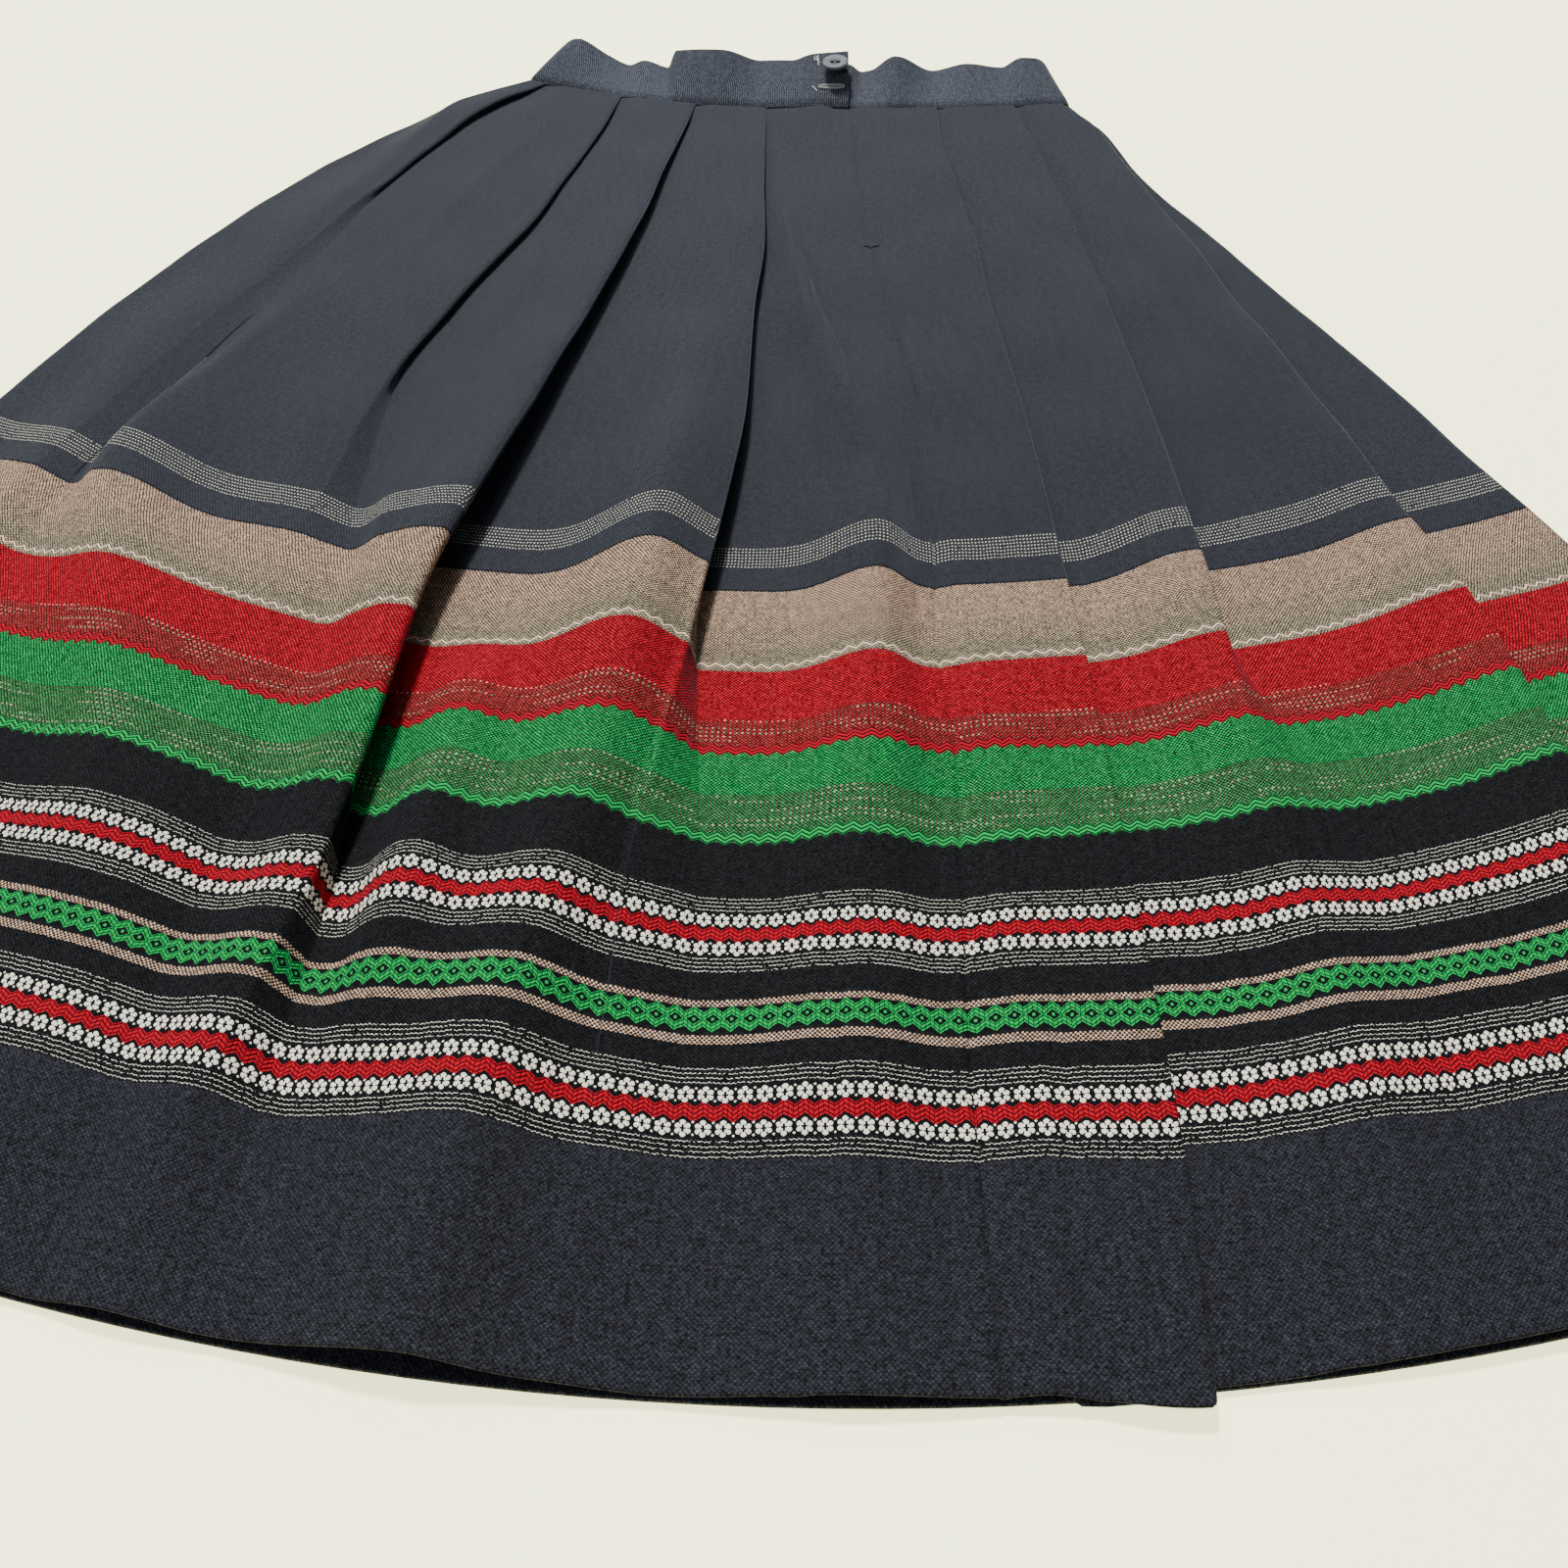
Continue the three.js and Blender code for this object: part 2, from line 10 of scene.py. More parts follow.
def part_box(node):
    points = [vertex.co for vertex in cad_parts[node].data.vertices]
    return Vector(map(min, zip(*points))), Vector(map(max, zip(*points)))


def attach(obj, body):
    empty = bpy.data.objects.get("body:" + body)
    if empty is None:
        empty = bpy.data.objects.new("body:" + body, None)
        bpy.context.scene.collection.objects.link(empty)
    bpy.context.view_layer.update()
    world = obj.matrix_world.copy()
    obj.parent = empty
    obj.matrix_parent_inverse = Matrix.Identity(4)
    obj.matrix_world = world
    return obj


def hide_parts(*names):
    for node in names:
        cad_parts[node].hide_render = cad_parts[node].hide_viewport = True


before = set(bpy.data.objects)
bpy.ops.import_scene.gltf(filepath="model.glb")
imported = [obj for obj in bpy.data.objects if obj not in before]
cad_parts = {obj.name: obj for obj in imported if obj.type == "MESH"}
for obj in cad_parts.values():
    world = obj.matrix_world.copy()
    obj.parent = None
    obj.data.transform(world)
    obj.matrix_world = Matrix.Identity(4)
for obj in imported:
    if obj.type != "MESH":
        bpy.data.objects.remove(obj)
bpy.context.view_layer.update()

# The pleated cloth of the back.
# It is one length of wool on each side of the centre-back seam, pressed into knife pleats that face
# right, tacked at the waist and loose below, so that most pleats open before the hem.

# Sizes are in millimetres, and a mesh is brought to metres when it is made.
MM = 0.001
CLOTH_HALF = 0.6
LAYER_STEP = 1.8
UNDERLAY_Z = 2.4
TOP_Z = UNDERLAY_Z + 2 * LAYER_STEP
PLACKET_Z = 5.2
SEAM_Z = 4.6
SIDE_EDGE_Z = 4.4
PLACKET_LENGTH = 186
CLOTH_LENGTH = 770
SEAM_GAP = 0.3
SEAM_HALF_GAP = 0.05


def table(columns, rows):
    """Columns of a table by name, as arrays."""
    return {name: np.array(values, float) for name, values in zip(columns.split(), zip(*rows))}


# Where the side edges, the fold edges e1 to e7 and the centre-back seam cross each level. A level is
# named by its drop, the distance down the cloth from the waist seam.
PLACES = table(
    "drop left e1 e2 e3 e4 seam e5 e6 e7 right",
    [
        (0, -152, -142, -96, -52, -11, 37, 88, 133, 161, 165),
        (50, -189, -170, -103, -58, -11, 39, 87, 138, 178, 183),
        (110, -222, -193, -114, -65, -11, 40, 90, 142, 186, 192),
        (180, -255, -214, -127, -73, -10, 43, 94, 146, 197, 213),
        (260, -285, -237, -148, -86, -14, 49, 96, 149, 207, 235),
        (350, -314, -264, -169, -101, -16, 56, 100, 151, 220, 260),
        (440, -338, -288, -177, -116, -24, 56, 102, 152, 231, 281),
        (500, -353, -300, -181, -126, -31, 53, 103, 152, 240, 297),
        (560, -368, -311, -185, -129, -37, 55, 103, 153, 246, 314),
        (620, -384, -321, -188, -134, -42, 52, 102, 155, 247, 331),
        (700, -407, -333, -192, -145, -46, 49, 100, 157, 249, 356),
        (770, -427, -344, -196, -154, -50, 49, 95, 159, 251, 378),
    ],
)

# How far each pleat laps over the next panel. Below zero it has opened to a soft step.
LAPS = table(
    "drop e1 e2 e3 e4 e5 e6 e7",
    [
        (0, 6, 30, 28, 25, 32, 30, 10),
        (50, 14, 34, 30, 30, 34, 34, 22),
        (110, 8, 32, 32, 32, 35, 33, 28),
        (180, 0, 24, 34, 30, 36, 30, 30),
        (260, -5, 12, 33, 24, 36, 24, 27),
        (350, -8, 0, 30, 17, 36, 16, 22),
        (440, -8, -8, 24, 9, 35, 9, 16),
        (500, -10, -14, 18, 0, 34, 0, 10),
        (560, -12, -14, 10, -8, 32, -8, 0),
        (620, -14, -14, 0, -14, 31, -14, -8),
        (700, -14, -14, -8, -14, 30, -14, -14),
        (770, -14, -14, -14, -14, 30, -14, -14),
    ],
)

# How high each fold edge stands above the cloth that lies flat.
LIFTS = table(
    "drop e1 e2 e3 e4 e5 e6 e7",
    [
        (0, 0, 0, 0, 0, 0, 0, 0),
        (50, 1, 0, 1, 0, 0, 0, 0),
        (110, 0, 0, 3, 2, 1, 1, 0),
        (180, 0, 1, 5, 4, 1, 2, 2),
        (260, 0, 1, 7, 5, 1, 4, 3),
        (350, 0, 2, 10, 6, 1, 6, 5),
        (440, 1, 2, 14, 5, 1, 7, 6),
        (500, 2, 1, 14, 4, 1, 6, 6),
        (560, 2, 0, 12, 2, 0, 4, 5),
        (620, 1, 0, 9, 2, 0, 3, 3),
        (700, 0, 0, 4, 1, 0, 2, 1),
        (770, 0, 0, 1, 0, 0, 0, 0),
    ],
)

# How far into its panel the rise of each fold edge is felt.
LIP_SPREADS = {"e1": 22, "e2": 22, "e3": 28, "e4": 26, "e5": 24, "e6": 24, "e7": 24}

# Free ridges of the cloth, by panel: how wide they are on the left and on the right, and their course.
RIDGES = [
    ("p2", 24, 30, table("drop across height", [
        (260, -240, 0), (350, -258, 8), (440, -262, 14), (500, -245, 12),
        (560, -225, 10), (620, -208, 8), (700, -205, 3), (770, -205, 0),
    ])),
    ("p3", 14, 14, table("drop across height", [
        (350, -140, 0), (440, -148, 5), (500, -152, 3), (560, -156, 0),
    ])),
    ("p4", 14, 14, table("drop across height", [
        (500, -102, 0), (560, -104, 10), (620, -108, 14), (700, -112, 2), (770, -114, 0),
    ])),
    ("p4", 28, 18, table("drop across height", [
        (260, -40, 0), (350, -42, 10), (440, -46, 18), (500, -52, 17),
        (560, -57, 16), (620, -67, 14), (700, -79, 12), (770, -86, 7),
    ])),
    ("p5", 13, 4, table("drop across height", [
        (82, -4, 0), (154, 1, 6), (247, 11, 10), (307, 22, 8), (390, 35, 0),
    ])),
    ("p5", 20, 20, table("drop across height", [
        (260, 24, 0), (350, 30, 6), (440, 33, 11), (500, 31, 10),
        (560, 27, 8), (620, 23, 6), (700, 18, 4), (770, 12, 2),
    ])),
]

# Panels from left to right: where each starts and ends, and how many stations cross it.
PANELS = {
    "p1": ("left", "e1", 22),
    "p2": ("e1", "e2", 32),
    "p3": ("e2", "e3", 26),
    "p4": ("e3", "e4", 32),
    "p5": ("e4", "seam", 24),
    "p6": ("seam", "e5", 20),
    "p7": ("e5", "e6", 26),
    "p8": ("e6", "e7", 28),
    "p9": ("e7", "right", 28),
}

# Soft creases of the cloth: how wide and deep they are, and their course down the skirt.
CREASES = [
    (4, -1.2, table("drop across", [(173, -7), (231, 2), (272, 11), (320, 17)])),
    (6, 1.3, table("drop across", [(60, 2), (130, 10), (210, 21), (300, 33)])),
    (5, -1.0, table("drop across", [(20, -82), (70, -80), (120, -84), (190, -92)])),
    (7, 1.2, table("drop across", [(30, -128), (110, -150), (200, -176), (290, -201)])),
    (6, -1.2, table("drop across", [(120, -196), (200, -222), (290, -243), (360, -262)])),
    (6, -1.0, table("drop across", [(40, 62), (120, 66), (230, 72), (340, 79)])),
    (5, -0.9, table("drop across", [(90, 112), (190, 118), (300, 121), (380, 127)])),
    (6, -1.0, table("drop across", [(70, 158), (160, 166), (260, 178), (350, 186)])),
    (7, -1.1, table("drop across", [(200, 214), (300, 228), (420, 250), (520, 268)])),
    (4, -0.9, table("drop across", [(600, 20), (660, 14), (720, 8), (770, 2)])),
    (3, -0.8, table("drop across", [(640, 76), (690, 74), (740, 71), (770, 70)])),
    (4, -0.8, table("drop across", [(610, -240), (680, -252), (730, -262), (770, -268)])),
    (4, -0.8, table("drop across", [(640, 196), (700, 204), (770, 214)])),
    (4, 0.8, table("drop across", [(560, 128), (640, 126), (720, 127), (770, 126)])),
]

# Slow waves of the whole cloth, each the product of two: how high, and for both how long across, how
# long down the skirt and where it starts.
WAVES = [
    (0.9, (17, 41, 0.6), (-60, 29, 0)),
    (0.45, (9.5, -33, 2.1), (35, 21, 1)),
]
PUCKER_HEIGHT = 0.22
PUCKER_SPREAD = 5


def smoothstep(value):
    """From zero to one, with a soft start and a soft end."""
    share = np.clip(value, 0, 1)
    return share * share * (3 - 2 * share)


def mix(a, b, share):
    """From the first value to the second."""
    return a + (b - a) * share


def read(columns, name, value, key="drop"):
    """A column of a table at a level, on a smooth curve that never overshoots its rows."""
    xs, ys = columns[key], columns[name]
    steps, rises = np.diff(xs), np.diff(ys)
    slopes = rises / steps
    inner = slopes[:-1] * slopes[1:]
    means = 2 * inner / np.where(inner > 0, slopes[:-1] + slopes[1:], 1)
    tangents = np.concatenate([[slopes[0]], np.where(inner > 0, means, 0), [slopes[-1]]])
    value = np.clip(value, xs[0], xs[-1])
    i = np.clip(np.searchsorted(xs, value, side="right") - 1, 0, len(steps) - 1)
    s = (value - xs[i]) / steps[i]
    start = ys[i] * (1 + 2 * s) * (1 - s) ** 2 + tangents[i] * steps[i] * s * (1 - s) ** 2
    end = ys[i + 1] * s * s * (3 - 2 * s) - tangents[i + 1] * steps[i] * s * s * (1 - s)
    return start + end


# Every level is a shallow arc. The waist's bends more on the left, the one where the border starts
# bends evenly, and below it the radius grows towards the hem.
ARC_MIDDLE = 20
WAIST_Y = 930
WAIST_RADIUS_LEFT = 321
WAIST_RADIUS_RIGHT = 1278
BORDER_DROP = 440
BORDER_RADIUS = 625
RADIUS_GROWTH = 0.45


def level_y(across, drop):
    """Place along the skirt of a level, which is an arc that fans out from the waist."""
    reach = across - ARC_MIDDLE
    waist_curve = np.where(reach < 0, 1 / WAIST_RADIUS_LEFT, 1 / WAIST_RADIUS_RIGHT)
    upper = mix(waist_curve, 1 / BORDER_RADIUS, np.clip(drop / BORDER_DROP, 0, 1))
    lower = 1 / (BORDER_RADIUS + RADIUS_GROWTH * np.maximum(drop - BORDER_DROP, 0))
    return WAIST_Y - drop + reach ** 2 * np.where(drop > BORDER_DROP, lower, upper) / 2


RIDGE_FADE = 16
RUMPLE_START = 40


def ridge_height(panel, across, drop, cover):
    """Height of a panel's free ridges, which fade where the pleat before it covers them."""
    height = 0 * across
    for name, left_spread, right_spread, course in RIDGES:
        if name != panel or drop < course["drop"][0] or drop > course["drop"][-1]:
            continue
        crest = read(course, "height", drop)
        centre = read(course, "across", drop)
        spread = np.where(across < centre, left_spread, right_spread)
        height = height + crest * np.exp(-(((across - centre) / spread) ** 2))
    return height * smoothstep((across - cover) / RIDGE_FADE)


def rumple(across, drop):
    """Small rise and fall of the whole cloth, with its creases, the same for all layers at a place."""
    height = 0 * across
    for crest, *pair in WAVES:
        wave, crossing = (np.sin(across / wide + drop / long + start) for wide, long, start in pair)
        height = height + crest * wave * crossing
    for width, depth, course in CREASES:
        first, last = course["drop"][0], course["drop"][-1]
        if drop < first or drop > last:
            continue
        reach = min(drop - first, last - drop) if last < CLOTH_LENGTH else drop - first
        fade = smoothstep(reach / (0.3 * (last - first)))
        centre = read(course, "across", drop)
        height = height + depth * fade * np.exp(-(((across - centre) / width) ** 2))
    seam_x = read(PLACES, "seam", drop)
    pucker = np.sin(drop / 1.9 + 0.8 * np.sin(drop / 13))
    pucker = pucker * np.exp(-(((across - seam_x) / PUCKER_SPREAD) ** 2))
    return (height + PUCKER_HEIGHT * pucker) * smoothstep(drop / RUMPLE_START)


# A fold turns on a small radius, which grows as the pleat opens or its edge lifts. The step down to the
# cloth under it shrinks over the last stretch before the pleat is flat.
OPEN_RADIUS_GROWTH = 0.2
LIFTED_LIP_GROWTH = 0.1
STEP_CLOSE = 20
LEAST_STEP = 0.25


def fold_at(name, drop):
    """One pleat's fold at a level: where the cloth starts to turn and where it lies flat again."""
    edge, lap = read(PLACES, name, drop), read(LAPS, name, drop)
    lift = read(LIFTS, name, drop)
    radius = LAYER_STEP / 2 + OPEN_RADIUS_GROWTH * max(-lap, 0)
    lip = radius + LIFTED_LIP_GROWTH * lift
    panel = next(key for key, ends in PANELS.items() if ends[1] == name)
    start_x = edge - lip
    cover = read(PLACES, PANELS[panel][0], drop)
    start_z = TOP_Z + lift + ridge_height(panel, start_x, drop, cover)
    step = 2 * LAYER_STEP * np.clip(1 + (lap + 2) / STEP_CLOSE, LEAST_STEP, 1)
    return {
        "edge": edge, "lap": lap, "lift": lift, "lip": lip, "radius": radius,
        "start": (start_x, start_z), "end": (edge - lap + radius, TOP_Z - step),
    }


def fold_line(fold, arc_steps=7, run_steps=4):
    """The turn of the cloth at a fold: over the edge, back under, and forward again."""
    (x0, z0), (x1, z1) = fold["start"], fold["end"]
    lip, radius = fold["lip"], fold["radius"]
    dx, dz = x1 - x0, z0 - z1 - lip - radius
    turn = math.atan2(dz, dx) + math.asin(min((lip + radius) / math.hypot(dx, dz), 1))
    angles = turn * np.linspace(0, 1, arc_steps + 1)
    over = np.stack([x0 + lip * np.sin(angles), z0 - lip * (1 - np.cos(angles))], 1)
    back = angles[::-1]
    under = np.stack([x1 - radius * np.sin(back), z1 + radius * (1 - np.cos(back))], 1)
    shares = np.linspace(0, 1, run_steps + 2)[1:-1, None]
    return np.concatenate([over, mix(over[-1], under[0], shares), under])


# The seam lies in a ditch, and the placket's lap stands up under the end of the waistband.
SEAM_PANELS = ("p5", "p6")
SEAM_STATIONS = np.array([0.0, 0.3, 0.7, 1.2, 1.9, 3.0])
SEAM_DITCH = 0.9
SEAM_DITCH_HALF = 1.8
SEAM_SETTLE = 60
SIDE_SETTLE = 110
SIDE_FADE = 20
CREST_SETBACK = 4
PLACKET_RISE = 3.0
PLACKET_RISE_LENGTH = 45
LAP_RISE_START = -22
LAP_RISE_WIDTH = 24
LAP_RISE_END = 24
LAP_RISE_DROP = 6


def panel_line(panel, drop, folds):
    """A panel's line across, from under one pleat to the top of the next."""
    start_name, end_name, count = PANELS[panel]
    before, after = folds.get(start_name), folds.get(end_name)
    left, right = read(PLACES, start_name, drop), read(PLACES, end_name, drop)
    seam_z = mix(PLACKET_Z, SEAM_Z, smoothstep((drop - PLACKET_LENGTH) / SEAM_SETTLE))
    side_z = mix(SIDE_EDGE_Z, UNDERLAY_Z, smoothstep(drop / SIDE_SETTLE))
    low = before["end"][1] if before else (seam_z if start_name == "seam" else side_z)
    high = TOP_Z if after else (seam_z if end_name == "seam" else UNDERLAY_Z)
    cover = max(before["edge"], before["end"][0]) if before else left
    crest = right
    if after:
        crest = min(after["edge"] - max(after["lap"], 0) - CREST_SETBACK, after["start"][0])
    x_start = before["end"][0] if before else left + SEAM_HALF_GAP * (start_name == "seam")
    x_end = after["start"][0] if after else right - SEAM_HALF_GAP * (end_name == "seam")
    x = np.linspace(x_start, x_end, count + 2)
    if start_name == "seam":
        x = np.concatenate([x_start + SEAM_STATIONS, x[2:]])
    if end_name == "seam":
        x = np.concatenate([x[:-2], x_end - SEAM_STATIONS[::-1]])
    z = mix(low, high, smoothstep((x - cover) / max(crest - cover, 1)))
    if after:
        lip = after["lift"] * np.exp(-(((x - x_end) / LIP_SPREADS[end_name]) ** 2))
        z = z + lip * smoothstep((x - cover) / (0.8 * (x_end - cover)))
    fade = 1 if after else smoothstep((right - x) / SIDE_FADE)
    z = z + ridge_height(panel, x, drop, cover) * fade
    if panel in SEAM_PANELS:
        z = z - SEAM_DITCH * (1 - smoothstep(abs(x - read(PLACES, "seam", drop)) / SEAM_DITCH_HALF))
    if panel == "p5":
        lift = smoothstep((x - LAP_RISE_START) / LAP_RISE_WIDTH)
        lift = lift * (1 - smoothstep((x - LAP_RISE_END) / LAP_RISE_DROP))
        z = z + PLACKET_RISE * lift * (1 - smoothstep(drop / PLACKET_RISE_LENGTH))
    line = np.stack([x, z], 1)
    return line[(1 if before else 0):(-1 if after else None)]


# At the waist seam the layers are pressed together, and the cloth dips into the seam.
LEAST_Z = 2.2
WAIST_PRESS = 0.45
WAIST_PRESS_LENGTH = 30
WAIST_DITCH = 0.5
WAIST_DITCH_LENGTH = 2

# Low down, the fifth pleat slips a little towards the hem and the cloth under it is drawn up.
SLIPS = table("drop over under", [
    (480, 0, 0), (560, 0, 2), (635, -0.5, 3.6), (695, -3.6, 2.1), (770, -6, 0),
])
SLIP_REACH = 40


def back_rows(panels, drops):
    """Midline points of a back piece, a row for each level, in millimetres."""
    rows = []
    for drop in drops:
        folds = {name: fold_at(name, drop) for name in LIP_SPREADS}
        over, under = read(SLIPS, "over", drop), read(SLIPS, "under", drop)
        lines, shifts = [], []
        for panel in panels:
            lines.append(panel_line(panel, drop, folds))
            near = 1 - smoothstep(abs(lines[-1][:, 0] - folds["e5"]["edge"]) / SLIP_REACH)
            shifts.append(near * {"p6": over, "p7": under}.get(panel, 0))
            if PANELS[panel][1] in folds:
                lines.append(fold_line(folds[PANELS[panel][1]]))
                shifts.append(np.linspace(over, under, len(lines[-1])) * (panel == "p6"))
        x, z = np.concatenate(lines).T
        press = mix(WAIST_PRESS, 1, smoothstep(drop / WAIST_PRESS_LENGTH))
        z = np.where(z < TOP_Z, TOP_Z - (TOP_Z - z) * press, z)
        z = z - WAIST_DITCH * (1 - smoothstep(drop / WAIST_DITCH_LENGTH))
        z = np.maximum(z + rumple(x, drop), LEAST_Z)
        y = level_y(x, drop) + np.concatenate(shifts) - SEAM_GAP * (drop == 0)
        rows.append(np.stack([x, y, z], 1))
    return np.array(rows)


# The plan's own origin is under the camera, and the frame's is under the middle of the skirt.
PLAN_LEFT = PLACES["left"].min()
front_low, front_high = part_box("front")
PLAN_SHIFT = Vector((front_low.x - PLAN_LEFT * MM, 0, 0))
PLAN_SHIFT.y = front_high.y - level_y(PLACES["left"][0], 0) * MM


def unit(vectors):
    """The same directions with a length of one."""
    return vectors / np.maximum(np.linalg.norm(vectors, axis=-1, keepdims=True), 1e-12)


def grid_normals(rows):
    """Which way the cloth faces at each point of a grid."""
    down = np.gradient(rows, axis=0)
    across = np.gradient(rows, axis=1)
    return unit(np.cross(unit(across), unit(down)) * -1)


def lengths(rows, axis):
    """Distance along the rows or the columns of a grid, from its first point."""
    steps = np.linalg.norm(np.diff(rows, axis=axis), axis=2)
    pad = [(0, 0), (0, 0)]
    pad[axis] = (1, 0)
    return np.cumsum(np.pad(steps, pad), axis=axis)


def quads(index):
    """Faces of a grid of vertex numbers, turned so that they face up."""
    a, b = index[:-1, :-1].ravel(), index[1:, :-1].ravel()
    c, d = index[1:, 1:].ravel(), index[:-1, 1:].ravel()
    return np.stack([a, b, c, d], 1)


def wall(name, rows, half, cloth_u, cloth_v):
    """A wall of cloth through a grid of midline points, with its cloth and bake coordinates."""
    count, width = rows.shape[:2]
    normals = grid_normals(rows)
    half = np.broadcast_to(half, rows.shape[:2])[..., None]
    points = np.concatenate([rows + normals * half, rows - normals * half]).reshape(-1, 3)
    outer = np.arange(count * width).reshape(count, width)
    inner = outer + count * width
    # The wall's two faces, its first and last rows and its two ends, each with its own strip of the
    # bake map: left, low, wide, high.
    sides = [
        (outer, (0.01, 0.52, 0.98, 0.47)),
        (inner[:, ::-1], (0.01, 0.03, 0.98, 0.43)),
        (np.stack([inner[0], outer[0]]), (0.01, 0.47, 0.98, 0.005)),
        (np.stack([outer[-1], inner[-1]]), (0.01, 0.48, 0.98, 0.005)),
        (np.stack([inner[:, 0], outer[:, 0]]).T, (0.01, 0.49, 0.98, 0.005)),
        (np.stack([outer[:, -1], inner[:, -1]]).T, (0.01, 0.5, 0.98, 0.005)),
    ]
    uv = np.stack([cloth_u, cloth_v], 2).reshape(-1, 2)
    uv = np.concatenate([uv, uv])
    faces, cloth_map, bake_map = [], [], []
    for index, (left, low, wide, high) in sides:
        grid = points[index]
        is_end = index.shape[1] == 2
        if is_end:
            along = lengths(grid, 0)
            across = np.broadcast_to([0.0, 1.0], index.shape)
            place = np.stack([left + wide * along / along[-1], low + high * across], 2)
        else:
            along = lengths(grid, 1)
            down = np.broadcast_to(np.linspace(1, 0, index.shape[0])[:, None], index.shape)
            place = np.stack([left + wide * along / along[:, -1:], low + high * down], 2)
        face = quads(index)
        local = quads(np.arange(index.size).reshape(index.shape))
        faces.append(face)
        cloth_map.append(uv[face.ravel()])
        bake_map.append(place.reshape(-1, 2)[local.ravel()])
    faces = np.concatenate(faces)
    mesh = bpy.data.meshes.new(name)
    mesh.from_pydata(points * MM, [], faces.tolist())
    mesh.uv_layers.new(name="OFBake").data.foreach_set("uv", np.concatenate(bake_map).ravel())
    mesh.uv_layers.new(name="cloth").data.foreach_set("uv", np.concatenate(cloth_map).ravel())
    mesh.polygons.foreach_set("use_smooth", np.ones(len(faces), bool))
    mesh.transform(Matrix.Translation(PLAN_SHIFT))
    mesh.update()
    piece = bpy.data.objects.new(name, mesh)
    bpy.context.scene.collection.objects.link(piece)
    return piece


def finish_piece(piece, material, slot, *nodes):
    """Gives a piece its material and its place in the frame, and hides the imported parts that it
    replaces.
    """
    piece.data.materials.append(material)
    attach(piece, "root")
    if nodes:
        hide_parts(*nodes)


# Woven wool: a dark warp crossed by coloured weft threads, eight warp threads to each motif.
# The border is woven in, with cords, little flowers, chevrons and diamonds in thicker weft.

WARP = 0.65
WEFT = 0.7
MOTIF = 8 * WARP
COLOURS = {
    "warp": (0.006, 0.006, 0.007),
    "navy": (0.025, 0.0262, 0.0355),
    # band: the same navy wool as the skirt, painted about three times lighter as painted light on the
    # waistband's face.
    "band": (0.088, 0.096, 0.128),
    "hem": (0.0266, 0.0268, 0.0345),
    "hem_warp": (0.0135, 0.0136, 0.0172),
    "black": (0.013, 0.013, 0.014),
    "silver": (0.72, 0.68, 0.52),
    "straw": (0.40, 0.34, 0.23),
    "cream": (0.80, 0.62, 0.44),
    "pink": (0.56, 0.38, 0.265),
    "grey": (0.37, 0.30, 0.20),
    "dusty": (0.29, 0.060, 0.040),
    "mossy": (0.09, 0.17, 0.065),
    "red": (0.55, 0.003, 0.016),
    "dark_red": (0.44, 0.004, 0.015),
    "green": (0.010, 0.33, 0.072),
    "dark_green": (0.014, 0.27, 0.065),
    "white": (0.88, 0.84, 0.70),
    "bright_red": (0.44, 0.002, 0.014),
    "bright_green": (0.006, 0.36, 0.07),
}

# Stripes of the border, from the waist down: where each starts, and its two weft colours by turns.
BORDER_START = 468
HEM_START = 709
STRIPES = [
    (0, "navy", "navy"),
    (BORDER_START, "pink", "pink"),
    (490, "pink", "grey"),
    (500, "grey", "grey"),
    (511.4, "red", "red"),
    (539, "dark_red", "dusty"),
    (555.6, "green", "green"),
    (577, "dark_green", "mossy"),
    (597, "black", "black"),
    (657.2, "pink", "pink"),
    (660.8, "black", "black"),
    (669.6, "pink", "pink"),
    (673.2, "black", "black"),
    (HEM_START, "hem", "hem"),
]


class Pattern:
    """A number at each point of the cloth, worked out by the material's maths nodes."""

    def __init__(self, tree, socket):
        self.tree = tree
        self.socket = socket

    def math(self, operation, *others):
        node = self.tree.nodes.new("ShaderNodeMath")
        node.operation = operation
        for slot, value in zip(node.inputs, (self, *others)):
            if isinstance(value, Pattern):
                self.tree.links.new(value.socket, slot)
            else:
                slot.default_value = value
        return Pattern(self.tree, node.outputs[0])

    def __add__(self, other):
        return self.math("ADD", other)

    def __sub__(self, other):
        return self.math("SUBTRACT", other)

    def __mul__(self, other):
        return self.math("MULTIPLY", other)

    def __abs__(self):
        return self.math("ABSOLUTE")

    def below(self, limit):
        return self.math("LESS_THAN", limit)

    def above(self, limit):
        return self.math("GREATER_THAN", limit)

    def between(self, low, high):
        return self.math("COMPARE", (low + high) / 2, (high - low) / 2)

    def either(self, other):
        return self.math("MAXIMUM", other)

    def wrap(self, size):
        """Distance from the middle of the cell of that size that holds the point."""
        return (self * (1 / size)).math("FRACT").math("MULTIPLY_ADD", size, -size / 2)

    def cell(self, size):
        """Number of the cell of that size that holds the point."""
        return (self * (1 / size)).math("FLOOR")

    def even(self):
        """One at the even whole numbers, and zero at the odd ones."""
        return (self * 0.5).math("FRACT").below(0.25)

    def arch(self, size):
        """One at zero, falling to zero at that distance on both sides."""
        share = self * (1 / size)
        return (share * share).math("MULTIPLY_ADD", -1, 1).math("MAXIMUM", 0)


def paint(tree, base, mask, colour):
    """Lays a colour over a base where the mask is one. Sockets 6 and 7 take the two colours."""
    node = tree.nodes.new("ShaderNodeMix")
    node.data_type = "RGBA"
    tree.links.new(mask.socket, node.inputs["Factor"])
    for slot, value in ((node.inputs[6], base), (node.inputs[7], colour)):
        if isinstance(value, str):
            slot.default_value = (*COLOURS[value], 1)
        else:
            tree.links.new(value, slot)
    return node.outputs[2]


